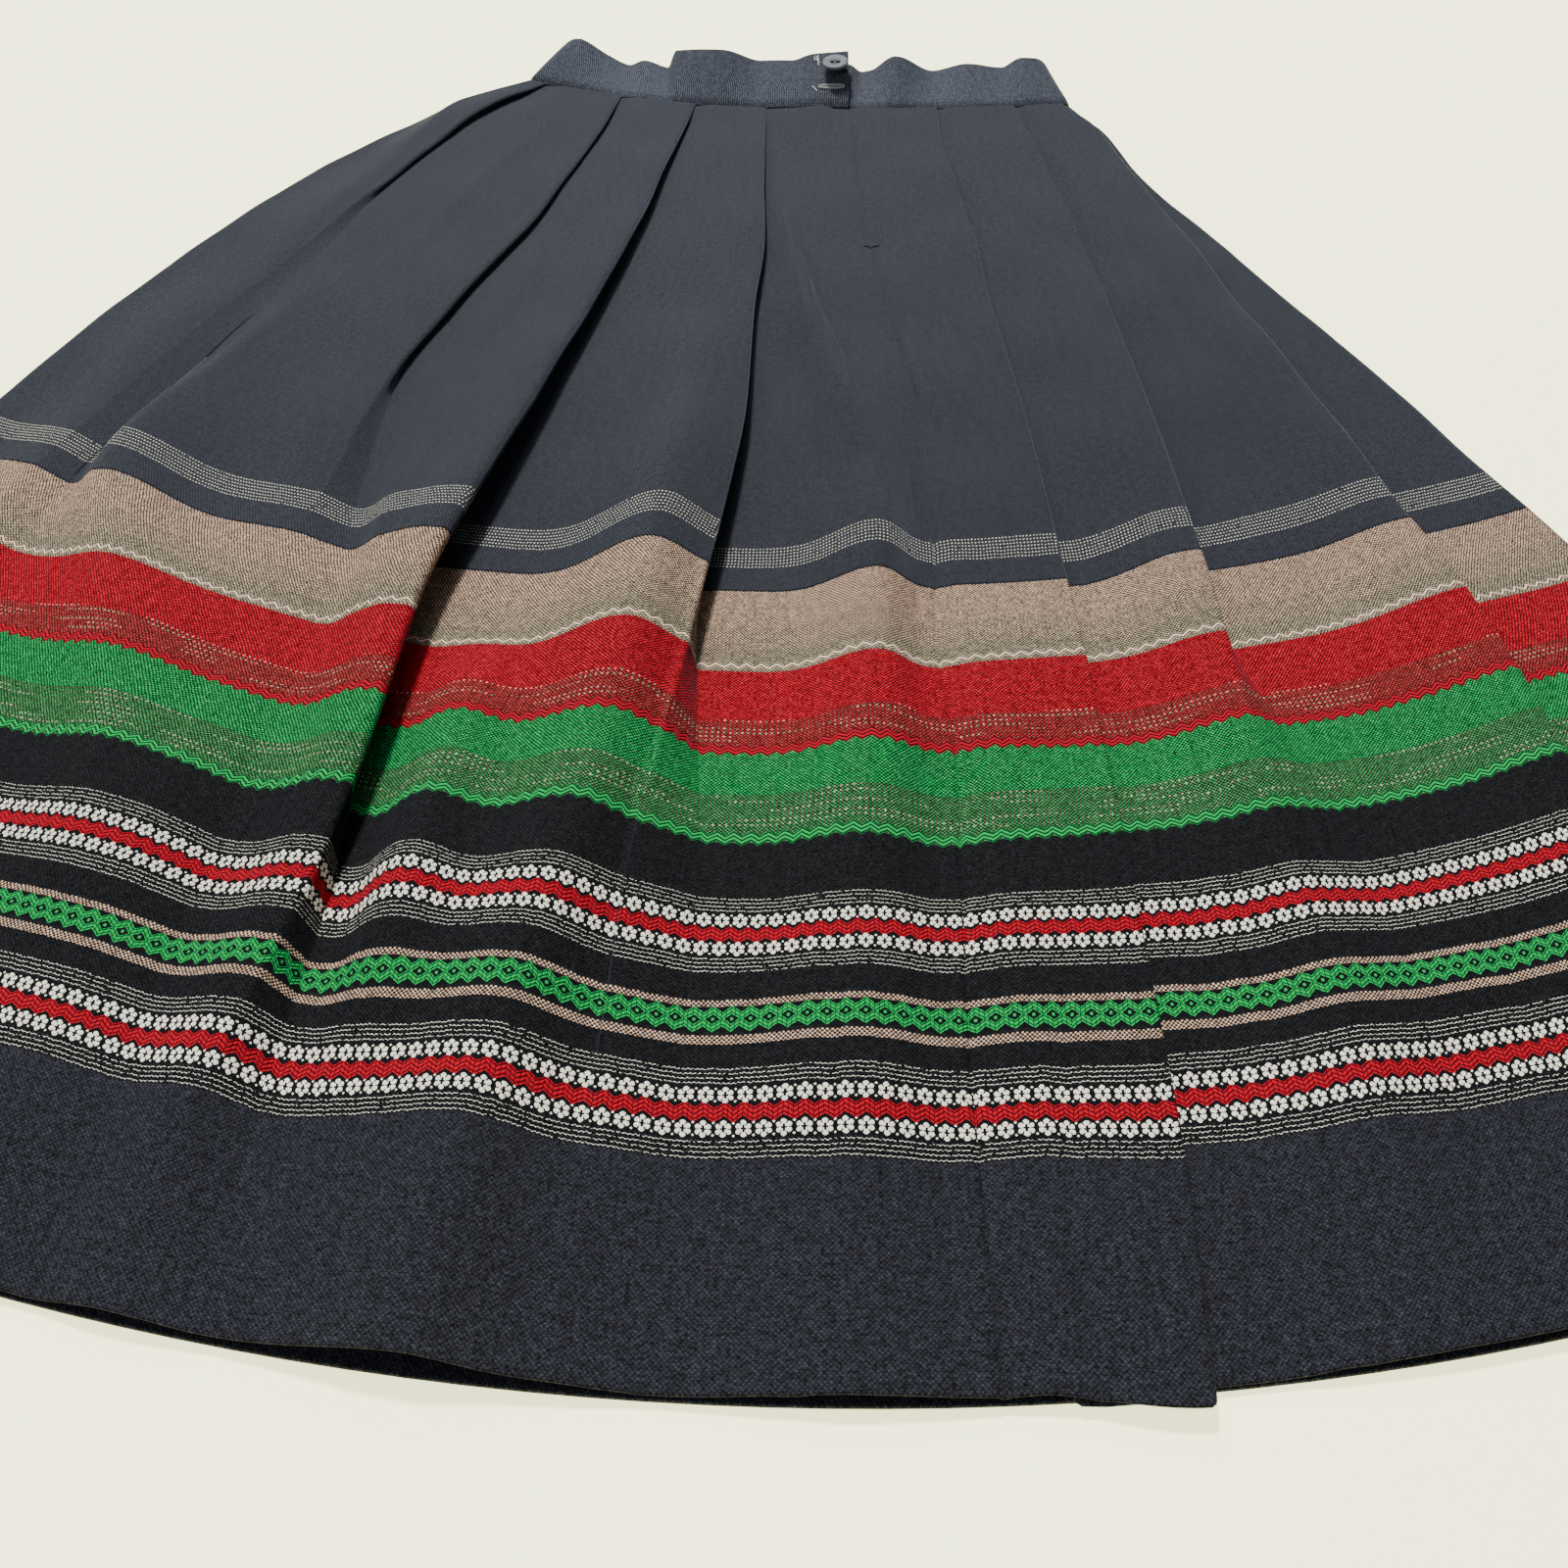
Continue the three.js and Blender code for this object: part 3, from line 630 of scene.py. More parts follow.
def stripe_ramp(tree, place, column):
    """The weft colour of each stripe, for one of the two weft threads."""
    ramp = tree.nodes.new("ShaderNodeValToRGB")
    ramp.color_ramp.interpolation = "CONSTANT"
    tree.links.new((place * (1 / CLOTH_LENGTH)).socket, ramp.inputs[0])
    elements = ramp.color_ramp.elements
    elements.remove(elements[1])
    for row, stripe in enumerate(STRIPES):
        element = elements[0] if row == 0 else elements.new(stripe[0] / CLOTH_LENGTH)
        element.position = stripe[0] / CLOTH_LENGTH
        element.color = (*COLOURS[stripe[column]], 1)
    return ramp.outputs[0]


def cloudiness(tree, u, v, across, along, detail=1):
    """Soft unevenness of the thread, with spots that are as wide and as long as that."""
    place = tree.nodes.new("ShaderNodeCombineXYZ")
    tree.links.new((u * (1 / across)).socket, place.inputs[0])
    tree.links.new((v * (1 / along)).socket, place.inputs[1])
    noise = tree.nodes.new("ShaderNodeTexNoise")
    noise.noise_dimensions = "2D"
    noise.inputs["Scale"].default_value = 1
    noise.inputs["Detail"].default_value = detail
    tree.links.new(place.outputs[0], noise.inputs["Vector"])
    return Pattern(tree, noise.outputs[0])


# Where the border's motifs lie, by their distance from the waist seam. The lower border's bands and
# rows are given by their distance from its middle, and from a band's own middle.
DOT_ROWS = (440, 454)
DOT_PITCH = 2
CREAM_CORD = 511.4
RED_CORD = 555.8
GREEN_CORD = 596.7
CORD_PITCH = 1.6
LOWER_MIDDLE = 665.2
DIAMOND_PITCH = 1.4
BAND_MIDDLE = 30.25
CHEVRON_PITCH = 1.5
FLOWER_ROW = 5.25
DASH_ROWS = (8.3, 14.3)
DASH_PITCH = 1.5
RED_FLECKS = (540, 553)
GREEN_FLECKS = (578, 594)


def woven_border(tree, u, v, colour, relief, unevenness):
    """Lays the border's thick weft over the plain weave, and returns the colour and the relief."""
    zigzag = abs(u.wrap(MOTIF)) * (4 / MOTIF) - 1
    stitch = abs((u + WARP / 2).wrap(2 * WARP)).below(WARP * 0.86)
    dash = abs(u.wrap(2 * WARP)).below(WARP * 0.42)

    # Rows of small dots in a shiny light thread.
    rows = v.between(*DOT_ROWS) * abs((v - DOT_ROWS[0]).wrap(DOT_PITCH)).below(0.3)
    colour = paint(tree, colour, dash * rows * unevenness.above(0.36), "silver")

    # Zigzag cords at the edges of the wide stripes: two of cream, then red ones and green ones.
    past_cream = v.above((CREAM_CORD + RED_CORD) / 2)
    past_red = v.above((RED_CORD + GREEN_CORD) / 2)
    cord = past_cream * (RED_CORD - CREAM_CORD) + past_red * (GREEN_CORD - RED_CORD) + CREAM_CORD
    line = v - cord - zigzag
    strand = (line + past_cream * (CORD_PITCH / 2) - CORD_PITCH / 2).wrap(CORD_PITCH)
    near = abs(line).below(past_cream * 0.75 + 1.3)
    cords = near * abs(strand).below(0.5)
    tone = paint(tree, paint(tree, "cream", past_cream, "bright_red"), past_red, "bright_green")
    colour = paint(tree, colour, near, "warp")
    colour = paint(tree, colour, cords, tone)
    relief = relief + near * strand.arch(0.8) * 0.32

    # The lower border is the same on both sides of its middle, a row of green diamonds.
    middle = abs(v - LOWER_MIDDLE)
    line = middle + zigzag * 1.05 - 2.0
    strand = (line + DIAMOND_PITCH / 2).wrap(DIAMOND_PITCH)
    near = abs(line).below(1.4)
    eye = middle.below(0.5) * abs(u.wrap(MOTIF)).below(0.4)
    lattice = (near * abs(strand).below(0.56) * stitch).either(eye)
    colour = paint(tree, colour, middle.below(4.3), "warp")
    colour = paint(tree, colour, lattice, "bright_green")
    relief = relief + near * strand.arch(0.7) * 0.35

    # On each side of the diamonds: a band of red chevrons between two rows of white flowers.
    band = middle - BAND_MIDDLE
    side = abs(band)
    line = band - zigzag * 0.95
    strand = line.wrap(CHEVRON_PITCH)
    near = abs(line).below(2.25)
    colour = paint(tree, colour, side.below(8.0), "warp")
    colour = paint(tree, colour, near * abs(strand).below(0.58) * stitch, "bright_red")
    relief = relief + near * strand.arch(0.75) * 0.35

    # A flower is a ring of petals round a dark hollow, with a small knot between it and the next.
    across, along = u.wrap(MOTIF), side - FLOWER_ROW
    reach = ((across * 0.44) * (across * 0.44) + (along * 0.38) * (along * 0.38)).math("SQRT")
    petals = (across.math("ARCTAN2", along) * 6).math("COSINE")
    ring = (reach - petals * 0.09).below(0.9) * reach.below(0.5).either(petals.above(-0.8))
    hollow = (abs(across).below(0.32) * abs(along).below(1.1)).either(
        abs(across).below(0.8) * abs(along).below(0.26)
    )
    beside = (u + MOTIF / 2).wrap(MOTIF)
    knot = (abs(beside) + abs(abs(along) - 1.9)).below(0.42)
    flowers = (ring * hollow.below(0.5)).either(knot) * side.between(2.5, 8.2)
    colour = paint(tree, colour, flowers, "white")
    relief = relief + flowers * (reach.arch(1.3) * 0.35 + petals * 0.08)

    # Beyond the flowers run rows of light dashes, set off by one warp thread from row to row.
    rows = side.between(*DASH_ROWS) * abs((side - DASH_ROWS[0]).wrap(DASH_PITCH)).below(0.2)
    stagger = (u + side.cell(DASH_PITCH) * WARP).wrap(2 * WARP)
    dash = abs(stagger).below(WARP * 0.42) * unevenness.above(0.4)
    colour = paint(tree, colour, dash * rows, "white")
    return colour, relief


def woven_material(name, border=True):
    """Plain weave: coloured weft shows over every second warp thread and bulges there."""
    material = bpy.data.materials.new(name)
    material.use_nodes = True
    tree = material.node_tree
    shader = tree.nodes["Principled BSDF"]
    coordinates = tree.nodes.new("ShaderNodeUVMap")
    coordinates.uv_map = "cloth"
    split = tree.nodes.new("ShaderNodeSeparateXYZ")
    tree.links.new(coordinates.outputs[0], split.inputs[0])
    flat_u = Pattern(tree, split.outputs[0]) * (1 / MM)
    flat_v = Pattern(tree, split.outputs[1]) * (1 / MM)
    unevenness = cloudiness(tree, flat_u, flat_v, 1.1, 0.8, 2)
    streaks = cloudiness(tree, flat_u, flat_v, 2.2, 26)
    grain = cloudiness(tree, flat_u, flat_v, 3.4, 2.6, 3)
    u = flat_u + cloudiness(tree, flat_v, flat_u, 5, 5) * 0.5
    v = flat_v + streaks * 0.7 - 0.35

    row = v.cell(WEFT)
    across, along = u.wrap(WARP) * (2 / WARP), v.wrap(WEFT) * (2 / WEFT)
    bulge = (across * across + along * along).math("MULTIPLY_ADD", -0.5, 1)
    weft_on_top = (row + u.cell(WARP)).even() * bulge.above(0.2)
    relief = bulge * 0.12
    if border:
        first, second = stripe_ramp(tree, v, 1), stripe_ramp(tree, v, 2)
        patches = cloudiness(tree, flat_u, flat_v, 30, 4)
        weft = paint(tree, first, row.even(), second)
        warp = paint(tree, "warp", v.above(HEM_START), "hem_warp")
        colour = paint(tree, warp, weft_on_top, weft)
        flecked = v.between(*RED_FLECKS).either(v.between(*GREEN_FLECKS)) * patches.above(0.54)
        dashes = abs(u.wrap(3 * WARP)).below(WARP * 0.5) * abs(v.wrap(3 * WEFT)).below(0.3)
        colour = paint(tree, colour, flecked * dashes, "straw")
    else:
        # The waistband's weft takes the lighter band colour, which is painted light on the same navy
        # wool.
        colour = paint(tree, "warp", weft_on_top, "band")

    # The yarn is uneven: fine spots, soft patches and streaks. Each stitch is also painted darker
    # towards its sides, as painted shade where the round thread turns down between its neighbours.
    tone = (unevenness * 2.6 - 0.3) * (grain * 1.2 + streaks * 0.3 + 0.25) * (bulge * 0.5 + 0.6)
    shade = tree.nodes.new("ShaderNodeVectorMath")
    shade.operation = "SCALE"
    tree.links.new(colour, shade.inputs[0])
    tree.links.new(tone.socket, shade.inputs["Scale"])
    colour = shade.outputs[0]
    if border:
        colour, relief = woven_border(tree, u, v, colour, relief, unevenness)
        # The plain cloth above the border is the smoothest, so it has the most gloss and sheen.
        upper = v.below(BORDER_START)
        tree.links.new((upper * 0.13 + 0.03).socket, shader.inputs["Specular IOR Level"])
        tree.links.new((upper * 0.16 + 0.04).socket, shader.inputs["Sheen Weight"])
    else:
        shader.inputs["Specular IOR Level"].default_value = 0.16
        shader.inputs["Sheen Weight"].default_value = 0.06

    tree.links.new(colour, shader.inputs["Base Color"])
    bump = tree.nodes.new("ShaderNodeBump")
    bump.inputs["Strength"].default_value = 1
    bump.inputs["Distance"].default_value = MM
    tree.links.new((relief + unevenness * 0.12).socket, bump.inputs["Height"])
    tree.links.new(bump.outputs[0], shader.inputs["Normal"])
    shader.inputs["Roughness"].default_value = 0.8
    shader.inputs["Specular Tint"].default_value = (0.80, 0.88, 1.0, 1)
    shader.inputs["Sheen Roughness"].default_value = 0.4
    shader.inputs["Sheen Tint"].default_value = (0.72, 0.82, 1.0, 1)
    return material


# Levels down the skirt lie closer together at the waist seam and at the hem, where the wall thins to
# a round edge.
LEVELS = np.concatenate([[0, 0.8, 1.8, 3.2], np.linspace(5, 765, 153), [767.5, 769.2, 770]])
HEM_HALVES = np.ones(len(LEVELS)) * CLOTH_HALF
HEM_HALVES[-2:] = (0.5, 0.3)
HEM_HALVES = HEM_HALVES[:, None]

pleated_wool = woven_material("pleated_wool")
left_rows = back_rows(["p1", "p2", "p3", "p4", "p5"], LEVELS)
right_rows = back_rows(["p6", "p7", "p8", "p9"], LEVELS)
drop_map = LEVELS[:, None] * MM

left_u = lengths(left_rows, 1)
left_u = (left_u - left_u[:, -1:]) * MM
back_left = wall("pleated_back_left", left_rows, HEM_HALVES, left_u, drop_map + 0 * left_u)
finish_piece(back_left, pleated_wool, "pleated_wool", "back_left")

right_u = lengths(right_rows, 1) * MM
back_right = wall("pleated_back_right", right_rows, HEM_HALVES, right_u, drop_map + 0 * right_u)
finish_piece(back_right, pleated_wool, "pleated_wool", "back_right")

# The front of the skirt.
# It is the under half of the same tube of cloth, flat on the table, and shows only at its edges.

FRONT_THICK = 1.5
FRONT_COLUMNS = 60
FRONT_PATTERN_START = 7

shares = np.linspace(0, 1, FRONT_COLUMNS)
front_rows = []
for drop in LEVELS:
    x = mix(read(PLACES, "left", drop), read(PLACES, "right", drop), shares)
    y = level_y(x, drop) - SEAM_GAP * (drop == 0)
    front_rows.append(np.stack([x, y, 0 * x + FRONT_THICK / 2], 1))
front_rows = np.array(front_rows)
front_u = (lengths(front_rows, 1) + FRONT_PATTERN_START) * MM
front = wall("front_cloth", front_rows, FRONT_THICK / 2, front_u, drop_map + 0 * front_u)
finish_piece(front, pleated_wool, "pleated_wool", "front")

# The waistband.
# It is a straight strip of the same wool round a stiff inlay, 36 mm high. It laps left over right at
# the back, and its upper edge waves because the stiff strip lies on uneven pleats.

BAND_HEIGHT = 36
BAND_HALF = 1.0
BAND_Z = 6
BAND_LAP_RISE = 1.7
BAND_CURL = 1.6
BAND_CURL_SHARE = 0.09
LAP_HALF = 0.62
LAP_THIN_START = 36
LAP_THIN_REACH = 14
BAND_LEFT = -153
BAND_RIGHT = 166
BAND_LEFT_LEAN = 20
BAND_RIGHT_LEAN = 10
BAND_LAP = 37.6
BAND_UNDERLAP = 5

# How far the band's upper edge stands up along the lap, and along the run under it.
BAND_EDGE = table("across lift", [
    (-146, 21), (-122, 18), (-106, 9.5), (-93, 5), (-83, 9), (-69, 6), (-63, 18),
    (-36, 21), (-13, 14), (4, 13.5), (17, 18), (38, 20),
])
BAND_RIGHT_EDGE = table("across lift", [
    (5, 12), (20, 13), (38, 13), (46, 8), (52, 9), (65, 18),
    (88, 8), (108, 12), (129, 9), (140, 15), (158, 13),
])


def band_top(x, share, lift, rise=0.0):
    """A point of the upper run, which curls down to the waist seam at its lower edge."""
    slope = np.arcsin(lift / BAND_HEIGHT)
    y = level_y(x, 0) + BAND_HEIGHT * share * np.cos(slope)
    curl = BAND_CURL * (1 - smoothstep(share / BAND_CURL_SHARE))
    return np.stack([x, y, BAND_Z + rise - curl + BAND_HEIGHT * share * np.sin(slope)], -1)


def band_lap(x, share):
    """A point of the run that ends in the lap, and carries the button."""
    x = np.asarray(x, float)
    rise = BAND_LAP_RISE * smoothstep((x - LAP_RISE_START) / LAP_RISE_WIDTH)
    return band_top(x, share, read(BAND_EDGE, "lift", x, "across"), rise)


def band_under(x, share):
    """A point of the run that ends under the lap."""
    x = np.asarray(x, float)
    return band_top(x, share, read(BAND_RIGHT_EDGE, "lift", x, "across"))


def band_flat(x, share):
    """A point of the lower run, which lies on the table."""
    y = level_y(x, 0) + BAND_HEIGHT * share
    return np.stack([x, y, 0 * x + BAND_HALF], -1)


def band_turn(end_x, outward, upper, share):
    """The half turn between the upper and the lower run of the band."""
    steps = np.linspace(0, 1, 15)[1:-1]
    radius = (upper[2] - BAND_HALF) / 2
    x = end_x + outward * radius * (np.sin(math.pi * steps) - 1)
    reach = mix(upper[1] - level_y(upper[0], 0), BAND_HEIGHT * share, smoothstep(steps))
    z = BAND_HALF + radius * (1 + np.cos(math.pi * steps))
    return np.stack([x, level_y(x, 0) + reach, z], 1)


def band_row(share):
    """The band's way round at one share of its height, from the underlap's end to the lap's end."""
    left_end = BAND_LEFT + BAND_LEFT_LEAN * share
    left_lift = read(BAND_EDGE, "lift", left_end, "across")
    left_x = left_end + (BAND_Z + left_lift * share - BAND_HALF) / 2
    right_end = BAND_RIGHT - BAND_RIGHT_LEAN * share
    right_lift = read(BAND_RIGHT_EDGE, "lift", right_end, "across")
    right_x = right_end - (BAND_Z + right_lift * share - BAND_HALF) / 2
    lap = band_lap(np.linspace(BAND_LAP, left_x, 130), share)
    under = band_under(np.linspace(right_x, BAND_UNDERLAP, 110), share)
    flat = band_flat(np.linspace(left_x, right_x, 60), share)
    left_turn = band_turn(left_end, -1, lap[-1], share)
    right_turn = band_turn(right_end, 1, under[0], share)[::-1]
    return np.concatenate([lap, left_turn, flat, right_turn, under])[::-1]


# The upper edge is a fold of the cloth, so the wall thins to a round edge there. The two ends that lap
# are pressed thin.
band_shares = np.concatenate([[1.0, 0.997, 0.99, 0.975], np.linspace(0.95, 0.05, 20), [0.02, 0.0]])
band_rows = np.array([band_row(share) for share in band_shares])
band_halves = np.array([0.3, 0.65, 0.88, 1.0] + [1.0] * 20 + [0.95, 0.8])[:, None] * BAND_HALF
band_u = lengths(band_rows, 1) * MM
from_end = np.minimum(band_u, band_u[:, -1:] - band_u) / MM
thinning = smoothstep((from_end - LAP_THIN_START) / LAP_THIN_REACH)
band_halves = band_halves * mix(LAP_HALF, 1, thinning)
band_v = (1 - band_shares[:, None]) * BAND_HEIGHT * MM
# The waistband has its own copy of the wool, painted lighter than the skirt's as painted light.
band_wool = woven_material("band_wool", border=False)
band = wall("waistband_cloth", band_rows, band_halves, band_u, band_v + 0 * band_u)
finish_piece(band, band_wool, "band_wool", "waistband")

# The button.
# It is a dished horn button, 15 mm wide, sewn through two holes to the lap of the waistband, and it
# tilts so that its lower rim stands off the cloth.

BUTTON_RADIUS = 7.5
BUTTON_UP = 24
BUTTON_X = 30
BUTTON_TILT = math.radians(22)
BUTTON_CLEARANCE = 0.5
HOLE_RADIUS = 1.1
HOLE_SPREAD = 1.9


def grids(name, sheets):
    """One mesh from several grids of points, each with its own strip of the bake map."""
    points, faces, places, first = [], [], [], 0
    for number, sheet in enumerate(sheets):
        index = np.arange(sheet.shape[0] * sheet.shape[1]).reshape(sheet.shape[:2])
        face = quads(index)
        rows = np.linspace(0.04, 0.96, sheet.shape[0])[:, None] + 0 * index
        columns = np.linspace(0.02, 0.98, sheet.shape[1])[None, :] + 0 * index
        place = np.stack([columns, (number + rows) / len(sheets)], 2).reshape(-1, 2)
        points.append(sheet.reshape(-1, 3))
        faces.append(face + first)
        places.append(place[face.ravel()])
        first += index.size
    mesh = bpy.data.meshes.new(name)
    mesh.from_pydata(np.concatenate(points) * MM, [], np.concatenate(faces).tolist())
    mesh.uv_layers.new(name="OFBake").data.foreach_set("uv", np.concatenate(places).ravel())
    mesh.polygons.foreach_set("use_smooth", np.ones(len(mesh.polygons), bool))
    mesh.transform(Matrix.Translation(PLAN_SHIFT))
    mesh.update()
    piece = bpy.data.objects.new(name, mesh)
    bpy.context.scene.collection.objects.link(piece)
    return piece


def band_frame(x, share):
    """A point of the lap's outer face, with the ways across it, up it and out of it."""
    seat = band_lap(x, share)
    across = unit(band_lap(x + 3, share) - band_lap(x - 3, share))
    upward = unit(band_lap(x, share + 0.05) - band_lap(x, share - 0.05))
    outward = unit(np.cross(across, upward))
    return seat + outward * LAP_HALF, across, np.cross(outward, across), outward


def smooth_colour(name, colour, roughness, specular=0.5):
    """A plain material of one colour."""
    material = bpy.data.materials.new(name)
    material.use_nodes = True
    shader = material.node_tree.nodes["Principled BSDF"]
    shader.inputs["Base Color"].default_value = (*colour, 1)
    shader.inputs["Roughness"].default_value = roughness
    shader.inputs["Specular IOR Level"].default_value = specular
    return material


# The disc is a profile turned round its axis, and its two holes are pits in the dish.
HOLE_DEPTH = 1.7
HOLE_EDGE = 0.3
profile = np.array([
    (0.02, 1.8), (1.0, 1.8), (2.0, 1.85), (2.8, 2.15), (3.4, 2.45), (4.5, 2.6), (5.6, 2.75), (6.3, 2.78),
    (6.9, 2.65), (7.3, 2.3), (7.5, 1.8), (7.4, 1.2), (7.0, 0.6), (6.4, 0.25), (5.0, 0.05), (0.02, 0.0),
])
profile_steps = np.linspace(0, len(profile) - 1, 70)
around = np.linspace(0, 2 * math.pi, 97)
radius = np.interp(profile_steps, range(len(profile)), profile[:, 0])[:, None]
height = np.interp(profile_steps, range(len(profile)), profile[:, 1])[:, None] + 0 * around
button_x, button_y = radius * np.cos(around), radius * np.sin(around)
for side in (-1, 1):
    reach = np.hypot(button_x - side * HOLE_SPREAD, button_y)
    pit = (1 - smoothstep((reach - HOLE_RADIUS + 0.25) / HOLE_EDGE)) * (height > 1.5)
    height = height - HOLE_DEPTH * pit
seat, across_way, up_way, out_way = band_frame(BUTTON_X, BUTTON_UP / BAND_HEIGHT)
stand_off = BUTTON_CLEARANCE + BUTTON_RADIUS * math.sin(BUTTON_TILT)
tilted_up = up_way * math.cos(BUTTON_TILT) - out_way * math.sin(BUTTON_TILT)
tilted_out = out_way * math.cos(BUTTON_TILT) + up_way * math.sin(BUTTON_TILT)
button_seat = seat + out_way * stand_off
disc = (
    button_seat
    + button_x[..., None] * across_way
    + button_y[..., None] * tilted_up
    + height[..., None] * tilted_out
)

# Horn is a fine grain of two greys.
horn = smooth_colour("button_horn", (0.06, 0.07, 0.09), 0.6, 0.3)
horn_tree = horn.node_tree
horn_grain = horn_tree.nodes.new("ShaderNodeTexNoise")
horn_grain.inputs["Scale"].default_value = 420
horn_grain.inputs["Detail"].default_value = 3
grain_colour = horn_tree.nodes.new("ShaderNodeMix")
grain_colour.data_type = "RGBA"
grain_colour.inputs[6].default_value = (0.05, 0.058, 0.072, 1)
grain_colour.inputs[7].default_value = (0.15, 0.165, 0.19, 1)
grain_place = horn_tree.nodes.new("ShaderNodeTexCoord")
horn_tree.links.new(grain_place.outputs["Object"], horn_grain.inputs["Vector"])
horn_tree.links.new(horn_grain.outputs[0], grain_colour.inputs["Factor"])
horn_tree.links.new(grain_colour.outputs[2], horn_tree.nodes["Principled BSDF"].inputs["Base Color"])
button = grids("button_disc", [disc[::-1]])
finish_piece(button, horn, "button_horn", "button")

# The threads of the closure.
# The button's thread, the worked buttonhole below it and the tack at the end of the placket are sewn
# with strong thread, and a few light thread ends stand out of the band.

THREAD_RADIUS = 0.2
SHANK_RADIUS = 0.26


def tube(path, radius, sides=7):
    """A round thread along a path, closed to a small ring at both ends."""
    path = np.asarray(path, float)
    along = unit(np.gradient(path, axis=0))
    side_way = unit(np.cross(along, [0.3, 0.2, 0.93]))
    lift_way = np.cross(side_way, along)
    turn = np.linspace(0, 2 * math.pi, sides + 1)[None, :, None]
    ends = np.ones(len(path))
    ends[[0, -1]] = 0.15
    ring = side_way[:, None] * np.cos(turn) + lift_way[:, None] * np.sin(turn)
    return path[:, None] + ring * (radius * ends)[:, None, None]


def curve(points, count=24):
    """A smooth path through a few points."""
    points = np.asarray(points, float)
    rows = {"at": np.arange(len(points), dtype=float)}
    rows.update({name: points[:, axis] for axis, name in enumerate("xyz")})
    places = np.linspace(0, len(points) - 1, count)
    return np.stack([read(rows, name, places, "at") for name in "xyz"], 1)


def on_band(x, share, out):
    """A point that far out of the lap's outer face."""
    seat, _, _, outward = band_frame(x, share)
    return seat + outward * out


# Two lips of close stitches make the buttonhole, longest in the middle.
HOLE_LEFT = 19.8
HOLE_RIGHT = 35.4
HOLE_SHARE = 0.34
HOLE_STITCHES = 30
STITCH_REACH = 1.9
STITCH_RADIUS = 0.29
STITCH_LEAN = 0.25
hole_stitches = []
for number in range(HOLE_STITCHES):
    share = (number + 0.5) / HOLE_STITCHES
    x = mix(HOLE_LEFT, HOLE_RIGHT, share)
    reach = STITCH_REACH * math.sqrt(1 - (2 * share - 1) ** 2 * 0.93)
    lean = STITCH_LEAN * math.sin(number * 2.1)
    for way in (-1, 1):
        places = [(0.15, 0.1), (0.4, 0.42), (0.75, 0.36), (1.0, 0.0)]
        path = [
            on_band(x + lean * part, HOLE_SHARE + way * reach * part / BAND_HEIGHT, out)
            for part, out in places
        ]
        hole_stitches.append(tube(curve(path, 7), STITCH_RADIUS, 6))
hole_thread = smooth_colour("buttonhole_thread", (0.42, 0.42, 0.42), 0.8, 0.2)
finish_piece(grids("buttonhole_stitches", hole_stitches), hole_thread, "band_wool")

# Loose ends: a tuft of three beside the button, and a short one beside the buttonhole. Each point is
# given across the band, as a share of its height, and out of its face.
loose_ends = [
    tube(curve([on_band(*place) for place in course], 22), THREAD_RADIUS, 6)
    for course in (
        [(18.6, 0.94, 0.1), (17.9, 0.90, 0.6), (18.3, 0.86, 0.5), (19.6, 0.85, 0.6), (20.2, 0.82, 0.1)],
        [(20.6, 0.95, 0.1), (19.9, 0.92, 0.7), (20.4, 0.87, 0.6), (19.8, 0.80, 0.5), (20.6, 0.75, 0.1)],
        [(18.9, 0.92, 0.1), (20.0, 0.91, 0.8), (19.2, 0.88, 0.6), (20.2, 0.84, 0.5), (20.9, 0.79, 0.1)],
        [(16.4, 0.36, 0.2), (17.2, 0.33, 0.6), (18.4, 0.28, 0.5), (19.4, 0.25, 0.2)],
    )
]
light_thread = smooth_colour("light_thread", (0.85, 0.83, 0.78), 0.8, 0.2)
finish_piece(grids("loose_threads", loose_ends), light_thread, "band_wool")


def on_button(x, y, z):
    """A point in the button's own axes."""
    return button_seat + x * across_way + y * tilted_up + z * tilted_out


# Three threads cross the dish from hole to hole, and five run from the button down to the band.
sewing = []
for offset in (-0.35, 0.0, 0.35):
    course = [
        (-HOLE_SPREAD, offset, 0.6), (-HOLE_SPREAD, offset, 2.2), (0, offset, 2.65),
        (HOLE_SPREAD, offset, 2.2), (HOLE_SPREAD, offset, 0.6),
    ]
    sewing.append(tube(curve([on_button(*place) for place in course]), THREAD_RADIUS))
for number in range(-2, 3):
    shank_top = on_button(0.6 * number, 0.6 * math.sin(2 * number + 4), 0.2)
    shank_foot = seat + across_way * (0.4 * number)
    sewing.append(tube(curve([shank_top, shank_foot], 8), SHANK_RADIUS))
dark_thread = smooth_colour("dark_thread", (0.02, 0.022, 0.03), 0.8, 0.2)
finish_piece(grids("button_thread", sewing), dark_thread, "button_horn")

# The tack holds the end of the placket, across the centre-back seam.
TACK_WIDTH = 7
TACK_STITCHES = 13
TACK_RADIUS = 0.26
TACK_SETBACK = 4


def on_back(panel, x, drop, out):
    """A point just above the resting cloth of a panel."""
    folds = {name: fold_at(name, drop) for name in LIP_SPREADS}
    line_x, line_z = panel_line(panel, drop, folds).T
    height = np.interp(x, line_x, line_z) + rumple(x, drop) + CLOTH_HALF
    return (x, float(level_y(x, drop)), float(height) + out)


tack_x = float(read(PLACES, "seam", PLACKET_LENGTH))
tack = []
for number in range(TACK_STITCHES):
    x = tack_x + TACK_WIDTH * (number / (TACK_STITCHES - 1) - 0.5)
    panel = "p5" if x < tack_x else "p6"
    places = [(-1.1, 0.0), (-0.5, 0.35), (0.5, 0.35), (1.1, 0.0)]
    middle = PLACKET_LENGTH - TACK_SETBACK
    path = [on_back(panel, x + 0.2 * down, middle + down, out) for down, out in places]
    tack.append(tube(curve(path, 7), TACK_RADIUS, 6))
finish_piece(grids("placket_tack", tack), dark_thread, "band_wool")

# The zip.
# It is a closed coil zip on a woven tape, sewn under the placket, so only its place is known.

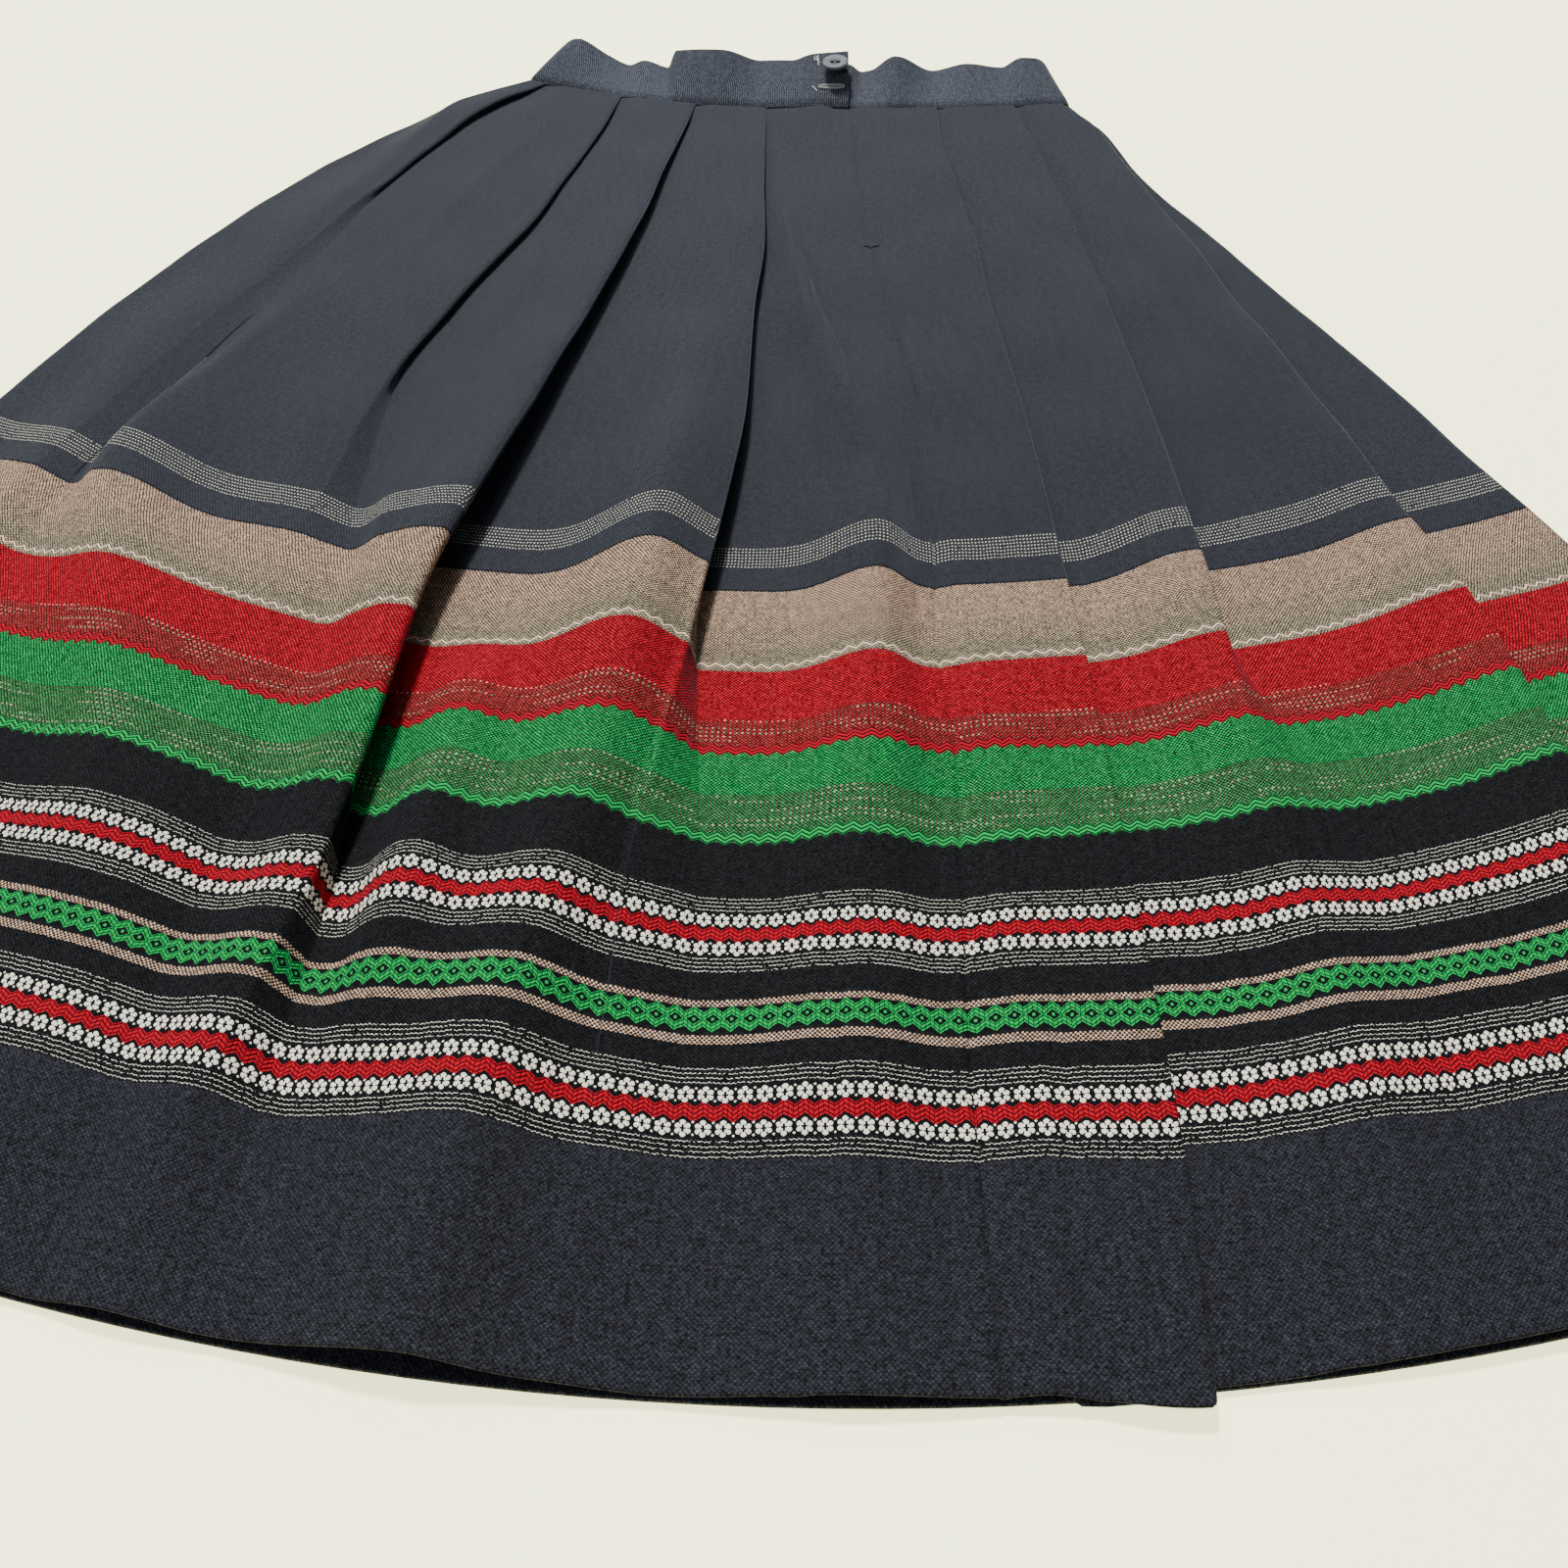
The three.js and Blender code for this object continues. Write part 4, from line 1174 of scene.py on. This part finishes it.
ZIP_BOTTOM = 1.8
ZIP_PITCH = 1.6
ZIP_CLEAR = 2
COIL_START = 8
COIL_CLEAR = 12
COIL_RADIUS = 0.26
zip_drops = np.linspace(ZIP_CLEAR, PLACKET_LENGTH - ZIP_CLEAR, 93)
zip_top_x = float(read(PLACES, "seam", 0.0))
zip_end_x = float(read(PLACES, "seam", PLACKET_LENGTH))


def on_zip(side, drop, z):
    """A point beside the zip's middle line, at a level, and that far above the tape's underside."""
    x = mix(zip_top_x, zip_end_x, drop / PLACKET_LENGTH) + side
    return (x, float(level_y(zip_top_x, 0)) - drop, ZIP_BOTTOM + z)


tape_edge = [
    (-11, 0.05), (-10.9, 0.85), (-3, 0.9), (0, 0.8), (3, 0.9), (10.9, 0.85), (11, 0.05), (-11, 0.05),
]
tape = np.array([[on_zip(side, drop, z) for side, z in tape_edge] for drop in zip_drops])
zip_tape = grids("zip_tape", [tape])
tape_cloth = smooth_colour("zip_tape", (0.016, 0.018, 0.024), 0.9, 0.2)
finish_piece(zip_tape, tape_cloth, "zip_tape", "zip")

# The teeth are loops of the coil that meet in the middle, and the slider stands at the top.
coil = []
for number in range(int((PLACKET_LENGTH - COIL_CLEAR) / ZIP_PITCH)):
    drop = COIL_START + number * ZIP_PITCH
    for side in (-1, 1):
        start = drop + 0.25 * ZIP_PITCH * side
        course = [(2.4, 0.95), (2.4, 1.35), (0.2, 1.4), (-0.5, 1.2), (-0.5, 0.95)]
        path = [on_zip(side * reach, start, z) for reach, z in course]
        coil.append(tube(path, COIL_RADIUS, 5))
slider_edge = [(-3.0, 0.95), (-3.0, 1.6), (0, 1.68), (3.0, 1.6), (3.0, 0.95)]
slider = [
    [on_zip(side * width, drop, z) for side, z in slider_edge]
    for drop, width in ((2.5, 0.7), (3.2, 1.0), (8.0, 1.0), (10.5, 0.62))
]
coil.append(np.array(slider))
coil_plastic = smooth_colour("zip_coil", (0.02, 0.022, 0.028), 0.45)
finish_piece(grids("zip_coil", coil), coil_plastic, "zip_tape")

# The cut of the cloth.
# Each wool piece is a panel whose width across is longer than its outline shows, for the pleats take
# it up: the cut is measured on the piece's own middle surface.


def cut_of(rows):
    """Widest row, longest column and area of a grid of points, in metres."""
    across, down = lengths(rows, 1)[:, -1], lengths(rows, 0)[-1]
    a, b, c, d = rows[:-1, :-1], rows[:-1, 1:], rows[1:, 1:], rows[1:, :-1]
    first = np.linalg.norm(np.cross(b - a, c - a), axis=2)
    second = np.linalg.norm(np.cross(c - a, d - a), axis=2)
    return across.max() * MM, down.max() * MM, (first + second).sum() / 2 * MM * MM


for piece, rows, layers_below in (
    (back_left, left_rows, ["front_cloth", "zip_tape"]),
    (back_right, right_rows, ["front_cloth", "zip_tape"]),
    (front, front_rows, []),
    (band, band_rows, ["pleated_back_left", "pleated_back_right"]),
):
    width, length, area = cut_of(rows)

# The table, the light and the camera.
# The camera looks down at 43 degrees from the hem end, as in the photo. The sun stands behind the
# waist, to the left, and the white table throws some of its light back.

# These sizes and places are in metres.
CAMERA_HEIGHT = 0.341
CAMERA_TILT = math.radians(43.12)
TABLE_SIZE = 12.0
SUN_ENERGY = 5.2
FILL_ENERGY = 38
FAR_ENERGY = 8
SUN_WAY = (0.17, -0.42, -0.89)
FILL_PLACE = (-1.6, -2.2, 2.0)
FAR_PLACE = (-0.1, 0.85, 0.95)
DOWN = (0, 0, -1)

plate = bpy.data.meshes.new("table")
edge = TABLE_SIZE / 2
corners = [(-edge, -edge, 0), (edge, -edge, 0), (edge, edge, 0), (-edge, edge, 0)]
plate.from_pydata(corners, [], [(0, 1, 2, 3)])
table_top = bpy.data.objects.new("table", plate)
bpy.context.scene.collection.objects.link(table_top)
table_paint = bpy.data.materials.new("table")
table_paint.use_nodes = True
table_shader = table_paint.node_tree.nodes["Principled BSDF"]
table_shader.inputs["Base Color"].default_value = (0.92, 0.90, 0.66, 1)
table_shader.inputs["Roughness"].default_value = 0.6
table_shader.inputs["Emission Color"].default_value = (1.0, 1.0, 0.50, 1)
table_shader.inputs["Emission Strength"].default_value = 2.2
table_top.data.materials.append(table_paint)


def lamp(name, kind, energy, colour, place, way):
    """A light of that kind at a place, shining that way."""
    light = bpy.data.lights.new(name, kind)
    light.energy = energy
    light.color = colour
    holder = bpy.data.objects.new(name, light)
    holder.location = place
    holder.rotation_euler = Vector(way).to_track_quat("-Z", "Y").to_euler()
    bpy.context.scene.collection.objects.link(holder)
    return light


sun = lamp("sun", "SUN", SUN_ENERGY, (1.0, 0.985, 0.95), (0, 0, 0), SUN_WAY)
sun.angle = math.radians(8)
fill = lamp("fill", "AREA", FILL_ENERGY, (0.93, 0.97, 1.0), FILL_PLACE, -Vector(FILL_PLACE))
fill.size = 2.0
far = lamp("far", "AREA", FAR_ENERGY, (0.94, 0.97, 1.0), FAR_PLACE, DOWN)
far.size = 0.5
world = bpy.data.worlds.new("room")
bpy.context.scene.world = world
world.use_nodes = True
world.node_tree.nodes["Background"].inputs["Color"].default_value = (0.80, 0.90, 1.0, 1)
world.node_tree.nodes["Background"].inputs["Strength"].default_value = 0.16

camera_data = bpy.data.cameras.new("camera")
camera_data.sensor_width = 36
camera_data.lens = camera_data.sensor_width
camera = bpy.data.objects.new("camera", camera_data)
camera.location = PLAN_SHIFT + Vector((0, 0, CAMERA_HEIGHT))
camera.rotation_euler = (math.pi / 2 - CAMERA_TILT, 0, 0)
bpy.context.scene.collection.objects.link(camera)
bpy.context.scene.camera = camera
